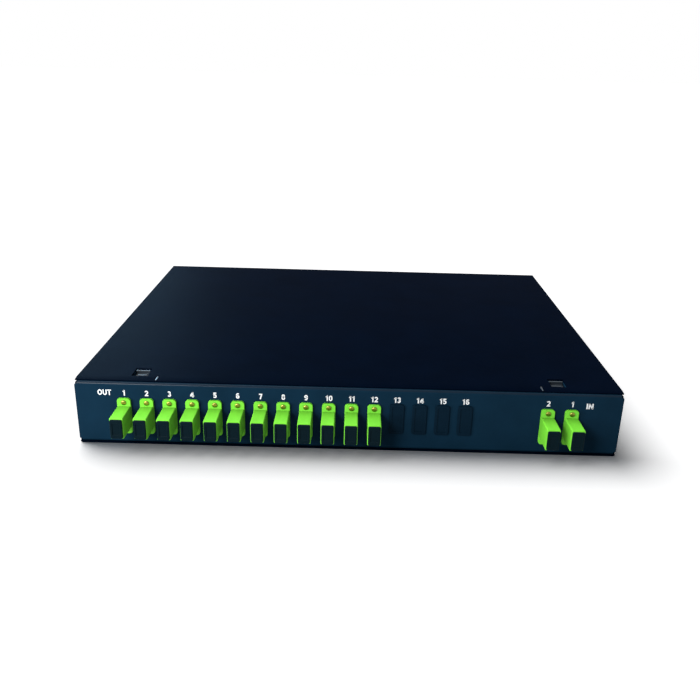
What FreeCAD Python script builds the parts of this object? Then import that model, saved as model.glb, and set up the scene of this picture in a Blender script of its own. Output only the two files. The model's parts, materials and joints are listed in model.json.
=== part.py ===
import FreeCAD
import Part
import math
import os
import re

import Sketcher

# Optical splitter box with twelve angled-polish output adapters, four blanked
# positions and two input adapters on its front panel.
#
# Frame: X to the right along the front, Y to the back, Z up, millimetres.
# The origin is the middle of the underside. The panel's face is at
# Y = -box_depth / 2, and each piece is drawn from that face backwards.

# ---------------------------------------------------------------- sizes

SIZES = [
    # the box
    ("box_width", 350.0, "outside width"),
    ("box_depth", 285.0, "outside depth, panel face to cover's rear flange"),
    ("box_height", 44.45, "outside height, one rack unit"),
    ("tray_sheet", 1.2, "thickness of the tray"),
    ("cover_sheet", 1.2, "thickness of the cover"),
    ("panel_sheet", 1.5, "thickness of the front panel"),
    ("fold_radius", 2.0, "outside radius of the folds"),
    ("fold_inner_radius", 0.5, "inside radius of the panel's and cover's folds"),
    ("sheet_gap", 0.3, "play between neighbouring sheets"),
    ("lip_width", 10.0, "width of the tray's in-turned lips"),
    ("relief_width", 0.6, "slit at the tray's rear corners"),
    ("overcut", 5.0, "how far a cut runs on past the metal"),
    ("return_depth", 28.0, "depth of the panel's top return"),
    ("foot_depth", 14.0, "depth of the panel's bottom return"),
    ("rear_drop", 14.0, "height of the cover's rear flange"),
    ("nose_setback", 2.0, "panel face to the cover's front edge"),
    ("nose_length", 4.0, "length of the sloped strip at the cover's front"),
    ("nose_drop", 0.45, "how far that strip slopes down"),
    # windows, hooks and keys at the cover's front corners
    ("window_inset", 34.3, "cover's side to the window's far side"),
    ("window_width", 10.4, "width of each window"),
    ("window_start", 8.9, "panel face to the window"),
    ("window_length", 12.8, "length of the window"),
    ("hook_sheet", 0.8, "thickness of the hooks"),
    ("hook_width", 9.0, "width of a hook"),
    ("hook_length", 24.0, "length of a hook's base"),
    ("front_finger_width", 6.2, "width of a hook's front finger"),
    ("finger_spacing", 7.5, "distance between a hook's two fingers"),
    ("finger_sink", 0.35, "fingers' tops below the cover's top"),
    ("finger_side_gap", 0.35, "play round the fingers in the panel"),
    ("key_inset", 51.4, "box's side to the key"),
    ("key_start", 3.0, "panel face to the key"),
    ("key_length", 6.4, "length of a key"),
    ("key_width", 1.0, "width of a key"),
    ("key_foot", 2.0, "how far a key reaches below the return"),
    ("key_gap", 0.2, "play round a key in the cover's slot"),
    ("key_sink", 0.15, "keys' tops below the cover's top"),
    # ports
    ("port_height", 20.7, "port axis above the underside"),
    ("out_margin", 31.25, "left side to the first output"),
    ("out_pitch", 14.56, "distance between outputs"),
    ("in_margin", 32.35, "right side to the first input"),
    ("in_pitch", 15.24, "distance between inputs"),
    ("cutout_gap", 0.15, "play round an adapter in its cut-out"),
    # adapters
    ("flange_width", 8.6, "width of an adapter's flange"),
    ("flange_height", 24.6, "height of the flange"),
    ("flange_thick", 2.0, "thickness of the flange"),
    ("flange_corner", 2.0, "corner radius of the flange"),
    ("adapter_width", 8.4, "width of an adapter's body"),
    ("adapter_height", 14.0, "height of the body"),
    ("adapter_front", 20.0, "panel face to the adapter's mouth"),
    ("adapter_rear", 11.5, "panel face to its inner mouth"),
    ("socket_width", 7.4, "width of the plug socket"),
    ("socket_height", 9.4, "height of the plug socket"),
    ("web_thick", 2.0, "wall in the middle of an adapter"),
    ("keyway_width", 2.4, "width of the keyway"),
    ("keyway_rise", 1.2, "height of the keyway above the socket"),
    ("keyway_length", 6.0, "length of the keyway"),
    ("holder_radius", 2.3, "outside radius of the sleeve holder"),
    ("sleeve_radius", 1.6, "outside radius of the ceramic sleeve"),
    ("sleeve_wall", 0.34, "wall of the ceramic sleeve"),
    ("sleeve_length", 11.4, "length of the ceramic sleeve"),
    ("sleeve_slit", 0.4, "slit along the ceramic sleeve"),
    ("sleeve_play", 0.04, "radial play of the sleeve in its holder"),
    # flange screws and nuts
    ("flange_screw_spacing", 19.2, "distance between a flange's two screws"),
    ("flange_screw_radius", 1.0, "radius of the screw's shank"),
    ("flange_hole_radius", 1.1, "radius of the screw's holes"),
    ("flange_head_radius", 1.7, "radius of the screw's head"),
    ("flange_head_height", 0.9, "height of the screw's head"),
    ("flange_nut_width", 4.0, "width of the nut across its flats"),
    ("flange_nut_thick", 1.6, "thickness of the nut"),
    ("thread_play", 0.05, "radial play of a screw in its thread"),
    ("screw_tail", 0.6, "screw end past its nut"),
    ("recess_width", 0.5, "width of the slot in small and countersunk heads"),
    ("recess_depth", 0.4, "depth of that slot"),
    # dust caps
    ("cap_width", 7.7, "width of a cap's lid"),
    ("cap_height", 12.8, "height of the lid"),
    ("cap_thick", 1.2, "thickness of the lid"),
    ("cap_corner", 1.0, "corner radius of the lid"),
    ("cap_seat", 0.1, "gap between lid and adapter"),
    ("cap_play", 0.12, "play of the cap's skirt in the socket"),
    ("cap_skirt", 4.0, "length of the skirt"),
    ("cap_wall", 0.9, "wall of the skirt"),
    ("cap_panel_width", 4.8, "width of the lid's sunk panel"),
    ("cap_panel_height", 8.0, "height of the lid's sunk panel"),
    ("cap_panel_depth", 0.4, "depth of the lid's sunk panel"),
    # blanking plates
    ("blank_width", 9.2, "width of a blanking plate"),
    ("blank_height", 20.8, "height of a blanking plate"),
    ("blank_rise", 2.35, "port axis up to the middle of a blanking plate"),
    ("blank_thick", 1.2, "thickness of the plate"),
    ("blank_plug", 6.0, "length of the plug behind the plate"),
    ("blank_wall", 1.0, "wall of the plug"),
    ("blank_panel_width", 6.0, "width of the plate's sunk panel"),
    ("blank_panel_height", 17.0, "height of the plate's sunk panel"),
    ("blank_panel_depth", 0.4, "depth of the plate's sunk panel"),
    # plugs inside the box
    ("plug_play", 0.12, "play of a plug in its socket"),
    ("plug_start", 3.2, "panel face to the plug's front"),
    ("plug_length", 24.8, "length of the plug's housing"),
    ("ferrule_play", 0.02, "radial play of the ferrule in the sleeve"),
    ("boot_length", 22.0, "length of the boot"),
    ("boot_front_radius", 3.4, "boot's radius at the plug"),
    ("boot_rear_radius", 1.6, "boot's radius at the fibre"),
    ("fibre_radius", 0.45, "radius of a buffered fibre"),
    # splitter module
    ("module_width", 120.0, "width of the module"),
    ("module_depth", 80.0, "depth of the module"),
    ("module_height", 18.0, "height of the module"),
    ("module_wall", 2.0, "wall of the module"),
    ("module_lid_thick", 2.0, "thickness of the module's lid"),
    ("module_rear", 14.0, "module to the cover's rear flange"),
    ("standoff_height", 8.0, "height of the standoffs"),
    ("standoff_radius", 4.0, "radius of the standoffs"),
    ("boss_radius", 4.0, "radius of the module's screw posts"),
    ("boss_inset", 5.0, "module's sides to a screw post's axis"),
    ("module_screw_radius", 1.5, "radius of the module's screws"),
    ("module_head_radius", 2.75, "radius of their heads"),
    ("module_head_height", 1.8, "height of their heads"),
    ("module_screw_end", 2.0, "module screws' ends above the tray"),
    ("outlet_pitch", 4.0, "distance between the fibre outlets"),
    ("outlet_play", 0.08, "play of a fibre in its outlet"),
    ("fibre_inside", 6.0, "fibre's end inside the module's wall"),
    ("chip_width", 60.0, "width of the optical chip"),
    ("chip_depth", 8.0, "depth of the optical chip"),
    ("chip_height", 5.0, "height of the optical chip"),
    # panel and cover screws
    ("m3_radius", 1.5, "radius of the box's own screws"),
    ("m3_hole_radius", 1.6, "radius of their holes"),
    ("sunk_head_radius", 2.7, "radius of the countersunk heads"),
    ("sunk_head_gap", 0.05, "play round a countersunk head"),
    ("sunk_slot_length", 3.8, "length of the slot in a countersunk head"),
    ("pan_head_radius", 2.8, "radius of the pan heads"),
    ("pan_head_height", 1.7, "height of the pan heads"),
    ("pan_slot_width", 1.0, "width of the slot in a pan head"),
    ("pan_slot_depth", 0.8, "depth of the slot in a pan head"),
    ("m3_tail", 3.0, "screw end past the inner sheet"),
    ("panel_screw_margin", 40.0, "box's side to the first panel screw"),
    ("panel_screw_setback", 7.0, "panel face to the panel screws"),
    ("cover_screw_margin", 30.0, "box's side to the first cover screw"),
    ("cover_screw_drop", 8.0, "cover's top to the cover screws"),
    # bracket holes in the tray's sides
    ("bracket_hole_radius", 1.65, "radius of the tapped bracket holes"),
    ("bracket_hole_spacing", 22.0, "distance between the bracket holes"),
    ("bracket_hole_setback", 20.0, "panel face to the bracket holes"),
]

OUT_COUNT = 12
BLANK_COUNT = 4
IN_COUNT = 2
PANEL_SCREW_COUNT = 4
COVER_SCREW_COUNT = 3
CORNERS = 4

doc = FreeCAD.newDocument("splitter_box")
sheet = doc.addObject("Spreadsheet::Sheet", "Sizes")
for row, (alias, value, meaning) in enumerate(SIZES, 1):
    sheet.set("A%d" % row, alias)
    sheet.set("B%d" % row, str(value))
    sheet.set("C%d" % row, meaning)
    sheet.setAlias("B%d" % row, alias)
doc.recompute()

ALIASES = {alias for alias, value, meaning in SIZES}

# Places that several pieces share, as formulas of the sizes.
TOP = "(box_height - cover_sheet)"
INNER_HALF = "(box_width / 2 - tray_sheet - sheet_gap)"
TRAY_REAR = "(box_depth - cover_sheet - sheet_gap)"
ADAPTER_MIDDLE = "((adapter_rear - adapter_front) / 2)"
ADAPTER_LENGTH = "(adapter_front + adapter_rear)"
SOCKET_DEPTH = "((adapter_front + adapter_rear - web_thick) / 2)"
SLEEVE_BORE = "(sleeve_radius + sleeve_play)"
FIRST_OUT = "(out_margin - box_width / 2)"
FIRST_IN = "(box_width / 2 - in_margin)"
WINDOW_MIDDLE = "(box_width / 2 - window_inset - window_width / 2)"
WINDOW_CENTRE = "(window_start + window_length / 2)"
KEY_MIDDLE = "(box_width / 2 - key_inset)"
KEY_CENTRE = "(key_start + key_length / 2)"
RETURN_UNDER = "(box_height - cover_sheet - panel_sheet)"
MODULE_FRONT = "(box_depth - module_rear - module_depth)"
MODULE_BASE = "(tray_sheet + standoff_height)"
MODULE_TOP = "(tray_sheet + standoff_height + module_height)"
OUTLET_HEIGHT = "(tray_sheet + standoff_height + module_height / 2)"
POST_SPACING_X = "(module_width - 2 * boss_inset)"
POST_SPACING_Y = "(module_depth - 2 * boss_inset)"
FIRST_POST = ("-" + POST_SPACING_X + " / 2", MODULE_FRONT + " + boss_inset")
PLUG_REAR = "(plug_start + plug_length)"
BOOT_REAR = "(plug_start + plug_length + boot_length)"

# Each row of ports: name, first port, count, pitch, and whether it runs leftwards.
FITTED_ROWS = [
    ("out", FIRST_OUT, OUT_COUNT, "out_pitch", False),
    ("in", FIRST_IN, IN_COUNT, "in_pitch", True),
]
FIRST_BLANK = FIRST_OUT + " + out_pitch * %d" % OUT_COUNT
CUTOUT_ROWS = FITTED_ROWS + [("blank", FIRST_BLANK, BLANK_COUNT, "out_pitch", False)]


def spell(formula):
    """Write a formula of the sizes the way an expression needs it."""
    def full_name(word):
        return "Sizes." + word.group() if word.group() in ALIASES else word.group()
    return re.sub(r"[a-z_0-9]+", full_name, formula)


def bind(thing, prop, formula):
    thing.setExpression(prop, spell(formula))


def size(alias):
    return float(sheet.get(alias))


# ---------------------------------------------------------------- helpers

def new_body(node, place=("0", "-box_depth / 2", "0")):
    """A body whose label is its node's name, placed by formulas."""
    body = doc.addObject("PartDesign::Body", node)
    body.Label = node
    body.AllowCompound = True
    for axis, formula in zip("xyz", place):
        bind(body, "Placement.Base." + axis, formula)
    return body


def origin_feature(body, role):
    return [item for item in body.Origin.OriginFeatures if item.Role == role][0]


def new_sketch(body, role, name, shift=("0", "0", "0")):
    """A sketch on one of the body's own planes; shift is along its own axes."""
    sketch = body.newObject("Sketcher::SketchObject", name)
    sketch.AttachmentSupport = [(origin_feature(body, role), "")]
    sketch.MapMode = "FlatFace"
    for axis, formula in zip("xyz", shift):
        bind(sketch, "AttachmentOffset.Base." + axis, formula)
    return sketch


def dimension(sketch, constraint, name, formula):
    number = sketch.addConstraint(constraint)
    sketch.renameConstraint(number, name)
    bind(sketch, "Constraints." + name, formula)


def rectangle(body, role, name, width, height, shift=("0", "0", "0")):
    """A rectangle centred on the shifted origin."""
    sketch = new_sketch(body, role, name, shift)
    corners = [FreeCAD.Vector(x, y, 0) for x, y in ((-4, -3), (4, -3), (4, 3), (-4, 3))]
    for number in range(CORNERS):
        sketch.addGeometry(Part.LineSegment(corners[number], corners[(number + 1) % CORNERS]), False)
    for number in range(CORNERS):
        sketch.addConstraint(Sketcher.Constraint("Coincident", number, 2, (number + 1) % CORNERS, 1))
    for number in (0, 2):
        sketch.addConstraint(Sketcher.Constraint("Horizontal", number))
        sketch.addConstraint(Sketcher.Constraint("Vertical", number + 1))
    sketch.addConstraint(Sketcher.Constraint("Symmetric", 0, 1, 1, 2, -1, 1))
    dimension(sketch, Sketcher.Constraint("DistanceX", 0, 1, 0, 2, 8.0), "width", width)
    dimension(sketch, Sketcher.Constraint("DistanceY", 1, 1, 1, 2, 6.0), "height", height)
    return sketch


def circle(body, role, name, radius, shift=("0", "0", "0")):
    """A circle centred on the shifted origin."""
    sketch = new_sketch(body, role, name, shift)
    sketch.addGeometry(Part.Circle(FreeCAD.Vector(), FreeCAD.Vector(0, 0, 1), 2.0), False)
    sketch.addConstraint(Sketcher.Constraint("Coincident", 0, 3, -1, 1))
    dimension(sketch, Sketcher.Constraint("Radius", 0, 2.0), "radius", radius)
    return sketch


def add_circle(sketch, name, radius, up="0"):
    """A further circle in a sketch, straight above or below its origin."""
    number = sketch.addGeometry(Part.Circle(FreeCAD.Vector(), FreeCAD.Vector(0, 0, 1), 1.0), False)
    sketch.addConstraint(Sketcher.Constraint("PointOnObject", number, 3, -2))
    dimension(sketch, Sketcher.Constraint("DistanceY", -1, 1, number, 3, 1.0), name + "_up", up)
    dimension(sketch, Sketcher.Constraint("Radius", number, 1.0), name + "_radius", radius)


def outline(body, role, name, points, shift=("0", "0", "0")):
    """A closed polygon through points, each a pair of formulas."""
    sketch = new_sketch(body, role, name, shift)
    count = len(points)
    turns = [2 * math.pi * number / count for number in range(count)]
    start = [FreeCAD.Vector(30 * math.cos(turn), 30 * math.sin(turn), 0) for turn in turns]
    for number in range(count):
        sketch.addGeometry(Part.LineSegment(start[number], start[(number + 1) % count]), False)
    for number, (across, up) in enumerate(points):
        sketch.addConstraint(Sketcher.Constraint("Coincident", number, 2, (number + 1) % count, 1))
        dimension(sketch, Sketcher.Constraint("DistanceX", -1, 1, number, 1, 1.0), "x%d" % number, across)
        dimension(sketch, Sketcher.Constraint("DistanceY", -1, 1, number, 1, 1.0), "y%d" % number, up)
    return sketch


def pad(body, sketch, name, length, midplane=False, backwards=False):
    feature = body.newObject("PartDesign::Pad", name)
    feature.Profile = sketch
    bind(feature, "Length", length)
    feature.Midplane = midplane
    feature.Reversed = backwards
    feature.Refine = False
    return feature


def pocket(body, sketch, name, length, backwards=False, midplane=False):
    """A cut against the sketch's normal, or along it when backwards."""
    feature = body.newObject("PartDesign::Pocket", name)
    feature.Profile = sketch
    bind(feature, "Length", length)
    feature.Reversed = backwards
    feature.Midplane = midplane
    feature.Refine = False
    return feature


def pattern(body, originals, name, along, count, length, backwards=False):
    """Copies of the features in a straight line; length is first to last."""
    feature = body.newObject("PartDesign::LinearPattern", name)
    feature.Originals = originals
    feature.Direction = (origin_feature(body, along), [""])
    feature.Occurrences = count
    feature.Reversed = backwards
    feature.Refine = False
    bind(feature, "Length", length)
    body.Tip = feature
    return feature


def across(feature, body, along, count, length):
    """Give a pattern a second direction."""
    feature.Direction2 = (origin_feature(body, along), [""])
    feature.Occurrences2 = count
    bind(feature, "Length2", length)


def at_ports(body, draw, rows=FITTED_ROWS):
    """Draw features at each row's first port and repeat them along the row."""
    return [pattern(body, draw(name, first), name + "_row", "X_Axis", count,
                    "%s * %d" % (pitch, count - 1), leftwards)
            for name, first, count, pitch, leftwards in rows]


def cone(body, kind, role, name, sizes, shift):
    """A cone along the plane's normal; sizes are its two radii and its height."""
    feature = body.newObject("PartDesign::" + kind, name)
    feature.AttachmentSupport = [(origin_feature(body, role), "")]
    feature.MapMode = "FlatFace"
    for axis, formula in zip("xyz", shift):
        bind(feature, "AttachmentOffset.Base." + axis, formula)
    for prop, formula in zip(("Radius1", "Radius2", "Height"), sizes):
        bind(feature, prop, formula)
    feature.Refine = False
    return feature


def edges_along(feature, axis, test=None):
    """Names of the straight edges along one axis whose middle passes the test."""
    names = []
    for number, edge in enumerate(feature.Shape.Edges, 1):
        if len(edge.Vertexes) < 2:
            continue
        first, last = [vertex.Point for vertex in edge.Vertexes]
        along = (last - first).normalize()
        if abs(along[axis]) > 0.999 and (test is None or test((first + last) / 2)):
            names.append("Edge%d" % number)
    return names


def fillet(body, base, name, edges, radius):
    feature = body.newObject("PartDesign::Fillet", name)
    feature.Base = (base, edges)
    bind(feature, "Radius", radius)
    body.Tip = feature
    return feature


def settle(feature):
    """Work out one feature and its profile, so that its edges can be read."""
    feature.Profile[0].recompute()
    feature.recompute()


def near(value, target):
    return abs(value - target) < 1e-4


X, Y, Z = range(3)


# ---------------------------------------------------------------- tray

def build_tray():
    """Base, two sides and rear wall folded from one sheet, with in-turned lips."""
    body = new_body("chassis_tray")
    wall_start = "(panel_sheet + sheet_gap)"
    base = rectangle(body, "XY_Plane", "base_outline", "box_width", TRAY_REAR, ("0", TRAY_REAR + " / 2", "0"))
    block = pad(body, base, "block", TOP)
    doc.recompute()
    half, rear, top = size("box_width") / 2, block.Shape.BoundBox.YMax, block.Shape.BoundBox.ZMax
    outer = edges_along(block, Y, lambda middle: near(abs(middle.x), half))
    outer += edges_along(block, X, lambda middle: near(middle.y, rear))
    fillet(body, block, "outer_folds", outer, "fold_radius")

    # the hollow, up to the lips' underside
    hollow = rectangle(
        body, "XY_Plane", "hollow_outline", "box_width - 2 * tray_sheet",
        TRAY_REAR + " - tray_sheet + overcut",
        ("0", "(" + TRAY_REAR + " - tray_sheet - overcut) / 2", "tray_sheet"))
    pocket(body, hollow, "hollow", TOP + " - 2 * tray_sheet", backwards=True)
    # the opening between the lips, with the front left open for the panel's return
    opening = outline(body, "XY_Plane", "opening_outline", [
        ("-box_width / 2 + lip_width", "return_depth + sheet_gap"),
        ("-box_width / 2 + lip_width", TRAY_REAR + " - lip_width"),
        ("box_width / 2 - lip_width", TRAY_REAR + " - lip_width"),
        ("box_width / 2 - lip_width", "return_depth + sheet_gap"),
        ("box_width / 2 - tray_sheet", "return_depth + sheet_gap"),
        ("box_width / 2 - tray_sheet", "-overcut"),
        ("-box_width / 2 + tray_sheet", "-overcut"),
        ("-box_width / 2 + tray_sheet", "return_depth + sheet_gap"),
    ], ("0", "0", "tray_sheet * 2"))
    pocket(body, opening, "top_opening", TOP, backwards=True)
    # the side walls stop behind the panel's face
    front = rectangle(
        body, "XY_Plane", "front_outline", "box_width + overcut", "2 * " + wall_start,
        ("0", "0", "tray_sheet"))
    pocket(body, front, "front_clearance", TOP, backwards=True)
    # slits that part the rear wall and its lip from the sides
    for side, sign in (("left", "-"), ("right", "")):
        slit = rectangle(
            body, "XY_Plane", side + "_slit_outline", "2 * lip_width", "relief_width",
            (sign + "box_width / 2", TRAY_REAR + " - tray_sheet - relief_width", "tray_sheet + fold_radius"))
        pocket(body, slit, side + "_slit", TOP, backwards=True)
    # tapped holes for mounting brackets
    lower = circle(
        body, "YZ_Plane", "bracket_hole_outline", "bracket_hole_radius",
        ("bracket_hole_setback", TOP + " / 2 - bracket_hole_spacing / 2", "0"))
    hole = pocket(body, lower, "bracket_hole", "box_width + overcut", midplane=True)
    pattern(body, [hole], "bracket_holes", "Z_Axis", 2, "bracket_hole_spacing")
    # countersunk holes for the panel screws
    shift = ("panel_screw_margin - box_width / 2", "panel_screw_setback", "0")
    through = circle(body, "XY_Plane", "panel_hole_outline", "m3_hole_radius", shift)
    drilled = pocket(body, through, "panel_hole", "tray_sheet", backwards=True)
    sink = cone(body, "SubtractiveCone", "XY_Plane", "panel_countersink", (
        "sunk_head_radius + sunk_head_gap", "m3_radius + sunk_head_gap", "tray_sheet"), shift)
    pattern(body, [drilled, sink], "panel_holes", "X_Axis", PANEL_SCREW_COUNT,
            "box_width - 2 * panel_screw_margin")
    # holes in the rear wall for the cover screws
    rear_hole = circle(
        body, "XZ_Plane", "cover_hole_outline", "m3_hole_radius",
        ("cover_screw_margin - box_width / 2", "box_height - cover_screw_drop", "-" + TRAY_REAR))
    tapped = pocket(body, rear_hole, "cover_hole", "2 * tray_sheet", midplane=True)
    pattern(body, [tapped], "cover_holes", "X_Axis", COVER_SCREW_COUNT, "box_width - 2 * cover_screw_margin")


# ---------------------------------------------------------------- front panel

def build_front_panel():
    """Face plate with a top and a bottom return, port cut-outs and screw holes."""
    body = new_body("front_panel")
    face_height = "(" + TOP + " - tray_sheet)"
    face_middle = "tray_sheet + " + face_height + " / 2"
    face = rectangle(body, "XZ_Plane", "face_outline", "2 * " + INNER_HALF, face_height,
                     ("0", face_middle, "-panel_sheet"))
    pad(body, face, "face", "panel_sheet")
    for name, depth, level in (("top_return", "return_depth", RETURN_UNDER),
                               ("bottom_return", "foot_depth", "tray_sheet")):
        flange = rectangle(body, "XY_Plane", name + "_outline", "2 * " + INNER_HALF, depth,
                           ("0", depth + " / 2", level))
        last = pad(body, flange, name, "panel_sheet")
    last.Refine = True
    doc.recompute()

    top, foot, wall = last.Shape.BoundBox.ZMax, size("tray_sheet"), size("panel_sheet")
    outside = fillet(body, last, "outer_folds", edges_along(last, X, lambda middle: near(
        middle.y, 0) and (near(middle.z, top) or near(middle.z, foot))), "fold_radius")
    doc.recompute()
    fillet(body, outside, "inner_folds", edges_along(outside, X, lambda middle: near(
        middle.y, wall) and (near(middle.z, top - wall) or near(middle.z, foot + wall))), "fold_inner_radius")
    # the face runs on past the returns, over the tray's side walls
    ends = rectangle(body, "XZ_Plane", "ends_outline", "box_width", face_height + " - 2 * fold_radius",
                     ("0", face_middle, "-panel_sheet"))
    pad(body, ends, "face_ends", "panel_sheet")

    def draw_cutout(name, first):
        """One cut-out, with the two screw holes of an adapter."""
        cutout = rectangle(
            body, "XZ_Plane", name + "_cutout_outline", "adapter_width + 2 * cutout_gap",
            "adapter_height + 2 * cutout_gap", (first, "port_height", "0"))
        if name != "blank":
            add_circle(cutout, "lower", "flange_hole_radius", "-flange_screw_spacing / 2")
            add_circle(cutout, "upper", "flange_hole_radius", "flange_screw_spacing / 2")
        return [pocket(body, cutout, name + "_cutout", "panel_sheet")]

    at_ports(body, draw_cutout, CUTOUT_ROWS)

    # openings in the top return for the hooks and the keys
    for side, sign in (("left", "-"), ("right", "")):
        window = rectangle(
            body, "XY_Plane", side + "_window_outline", "hook_width + 2 * finger_side_gap",
            "finger_spacing + hook_sheet + 2 * finger_side_gap",
            (sign + WINDOW_MIDDLE, WINDOW_CENTRE, RETURN_UNDER))
        pocket(body, window, side + "_window", "panel_sheet", backwards=True)
        key_slot = rectangle(
            body, "XY_Plane", side + "_key_outline", "key_width", "key_length",
            (sign + KEY_MIDDLE, KEY_CENTRE, RETURN_UNDER))
        pocket(body, key_slot, side + "_key_slot", "panel_sheet", backwards=True)
    # holes in the bottom return for the panel screws
    hole = circle(body, "XY_Plane", "foot_hole_outline", "m3_hole_radius",
                  ("panel_screw_margin - box_width / 2", "panel_screw_setback", "tray_sheet"))
    drilled = pocket(body, hole, "foot_hole", "panel_sheet", backwards=True)
    pattern(body, [drilled], "foot_holes", "X_Axis", PANEL_SCREW_COUNT,
            "box_width - 2 * panel_screw_margin")


# ---------------------------------------------------------------- cover

def build_cover():
    """Flat cover with a sloped nose, a rear flange, two windows and two slots."""
    body = new_body("top_cover")
    section = outline(body, "YZ_Plane", "section", [
        ("nose_setback", TOP),
        ("box_depth - cover_sheet", TOP),
        ("box_depth - cover_sheet", "box_height - rear_drop"),
        ("box_depth", "box_height - rear_drop"),
        ("box_depth", "box_height"),
        ("nose_setback + nose_length", "box_height"),
        ("nose_setback", "box_height - nose_drop"),
    ])
    plate = pad(body, section, "plate", "box_width", midplane=True)
    doc.recompute()
    rear, top, wall = size("box_depth"), size("box_height"), size("cover_sheet")
    fold = fillet(body, plate, "rear_fold", edges_along(
        plate, X, lambda middle: near(middle.y, rear) and near(middle.z, top)), "fold_radius")
    doc.recompute()
    inside = edges_along(fold, X, lambda middle: near(middle.y, rear - wall) and near(middle.z, top - wall))
    fillet(body, fold, "rear_inner_fold", inside, "fold_inner_radius")

    for side, sign in (("left", "-"), ("right", "")):
        window = rectangle(body, "XY_Plane", side + "_window_outline", "window_width", "window_length",
                           (sign + WINDOW_MIDDLE, WINDOW_CENTRE, TOP))
        pocket(body, window, side + "_window", "cover_sheet", backwards=True)
        slot = rectangle(
            body, "XY_Plane", side + "_slot_outline", "key_width + 2 * key_gap",
            "key_length + 2 * key_gap", (sign + KEY_MIDDLE, KEY_CENTRE, TOP))
        pocket(body, slot, side + "_slot", "cover_sheet", backwards=True)
    hole = circle(body, "XZ_Plane", "screw_hole_outline", "m3_hole_radius",
                  ("cover_screw_margin - box_width / 2", "box_height - cover_screw_drop", "-box_depth"))
    drilled = pocket(body, hole, "screw_hole", "2 * cover_sheet", midplane=True)
    pattern(body, [drilled], "screw_holes", "X_Axis", COVER_SCREW_COUNT,
            "box_width - 2 * cover_screw_margin")


def build_hook(side, sign):
    """Spring-steel clip under the top return, its two fingers up in the window."""
    body = new_body("cover_hook_" + side)
    foot = rectangle(body, "XY_Plane", "foot_outline", "hook_width", "hook_length",
                     (sign + WINDOW_MIDDLE, WINDOW_CENTRE, RETURN_UNDER))
    pad(body, foot, "foot", "hook_sheet", backwards=True)
    inward = "- (hook_width - front_finger_width) / 2"
    for place, width, shift, offset in (("front", "front_finger_width", inward, " - finger_spacing / 2"),
                                        ("rear", "hook_width", "", " + finger_spacing / 2")):
        finger = rectangle(body, "XY_Plane", place + "_finger_outline", width, "hook_sheet",
                           (sign + "(" + WINDOW_MIDDLE + shift + ")", WINDOW_CENTRE + offset, RETURN_UNDER))
        pad(body, finger, place + "_finger", "cover_sheet + panel_sheet - finger_sink")


def build_key(side, sign):
    """Bright key pressed into the top return; it stands in the cover's slot."""
    body = new_body("locating_key_" + side)
    section = rectangle(body, "XY_Plane", "section", "key_width", "key_length",
                        (sign + KEY_MIDDLE, KEY_CENTRE, RETURN_UNDER + " - key_foot"))
    pad(body, section, "bar", "key_foot + panel_sheet + cover_sheet - key_sink")


# ---------------------------------------------------------------- ports

def out_place(number):
    return (FIRST_OUT + " + out_pitch * %d" % (number - 1), "-box_depth / 2", "port_height")


def in_place(number):
    return (FIRST_IN + " - in_pitch * %d" % (number - 1), "-box_depth / 2", "port_height")


def build_adapter(node, place):
    """Through adapter: flange on the panel's face, a plug socket at each end."""
    body = new_body(node, place)
    flange = rectangle(body, "XZ_Plane", "flange_outline", "flange_width", "flange_height")
    add_circle(flange, "lower", "flange_hole_radius", "-flange_screw_spacing / 2")
    add_circle(flange, "upper", "flange_hole_radius", "flange_screw_spacing / 2")
    plate = pad(body, flange, "flange", "flange_thick")
    settle(plate)
    half = size("flange_width") / 2
    corners = edges_along(plate, Y, lambda middle: near(abs(middle.x), half))
    fillet(body, plate, "flange_corners", corners, "flange_corner")
    shell = rectangle(body, "XZ_Plane", "shell_outline", "adapter_width", "adapter_height",
                      ("0", "0", "-adapter_rear"))
    pad(body, shell, "shell", ADAPTER_LENGTH)
    outer = rectangle(body, "XZ_Plane", "outer_socket_outline", "socket_width", "socket_height",
                      ("0", "0", "adapter_front"))
    pocket(body, outer, "outer_socket", SOCKET_DEPTH)
    inner = rectangle(body, "XZ_Plane", "inner_socket_outline", "socket_width", "socket_height",
                      ("0", "0", "-adapter_rear"))
    pocket(body, inner, "inner_socket", SOCKET_DEPTH, backwards=True)
    for name, reach in (("outer", "adapter_front"), ("inner", "-adapter_rear")):
        keyway = rectangle(body, "XZ_Plane", name + "_keyway_outline", "keyway_width", "keyway_rise * 2",
                           ("0", "socket_height / 2", reach))
        pocket(body, keyway, name + "_keyway", "keyway_length", backwards=(name == "inner"))
    holder = circle(body, "XZ_Plane", "holder_outline", "holder_radius",
                    ("0", "0", "-" + ADAPTER_MIDDLE))
    pad(body, holder, "sleeve_holder", "sleeve_length", midplane=True)
    bore = circle(body, "XZ_Plane", "bore_outline", SLEEVE_BORE, ("0", "0", "-" + ADAPTER_MIDDLE))
    pocket(body, bore, "sleeve_bore", "sleeve_length + overcut", midplane=True)


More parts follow.
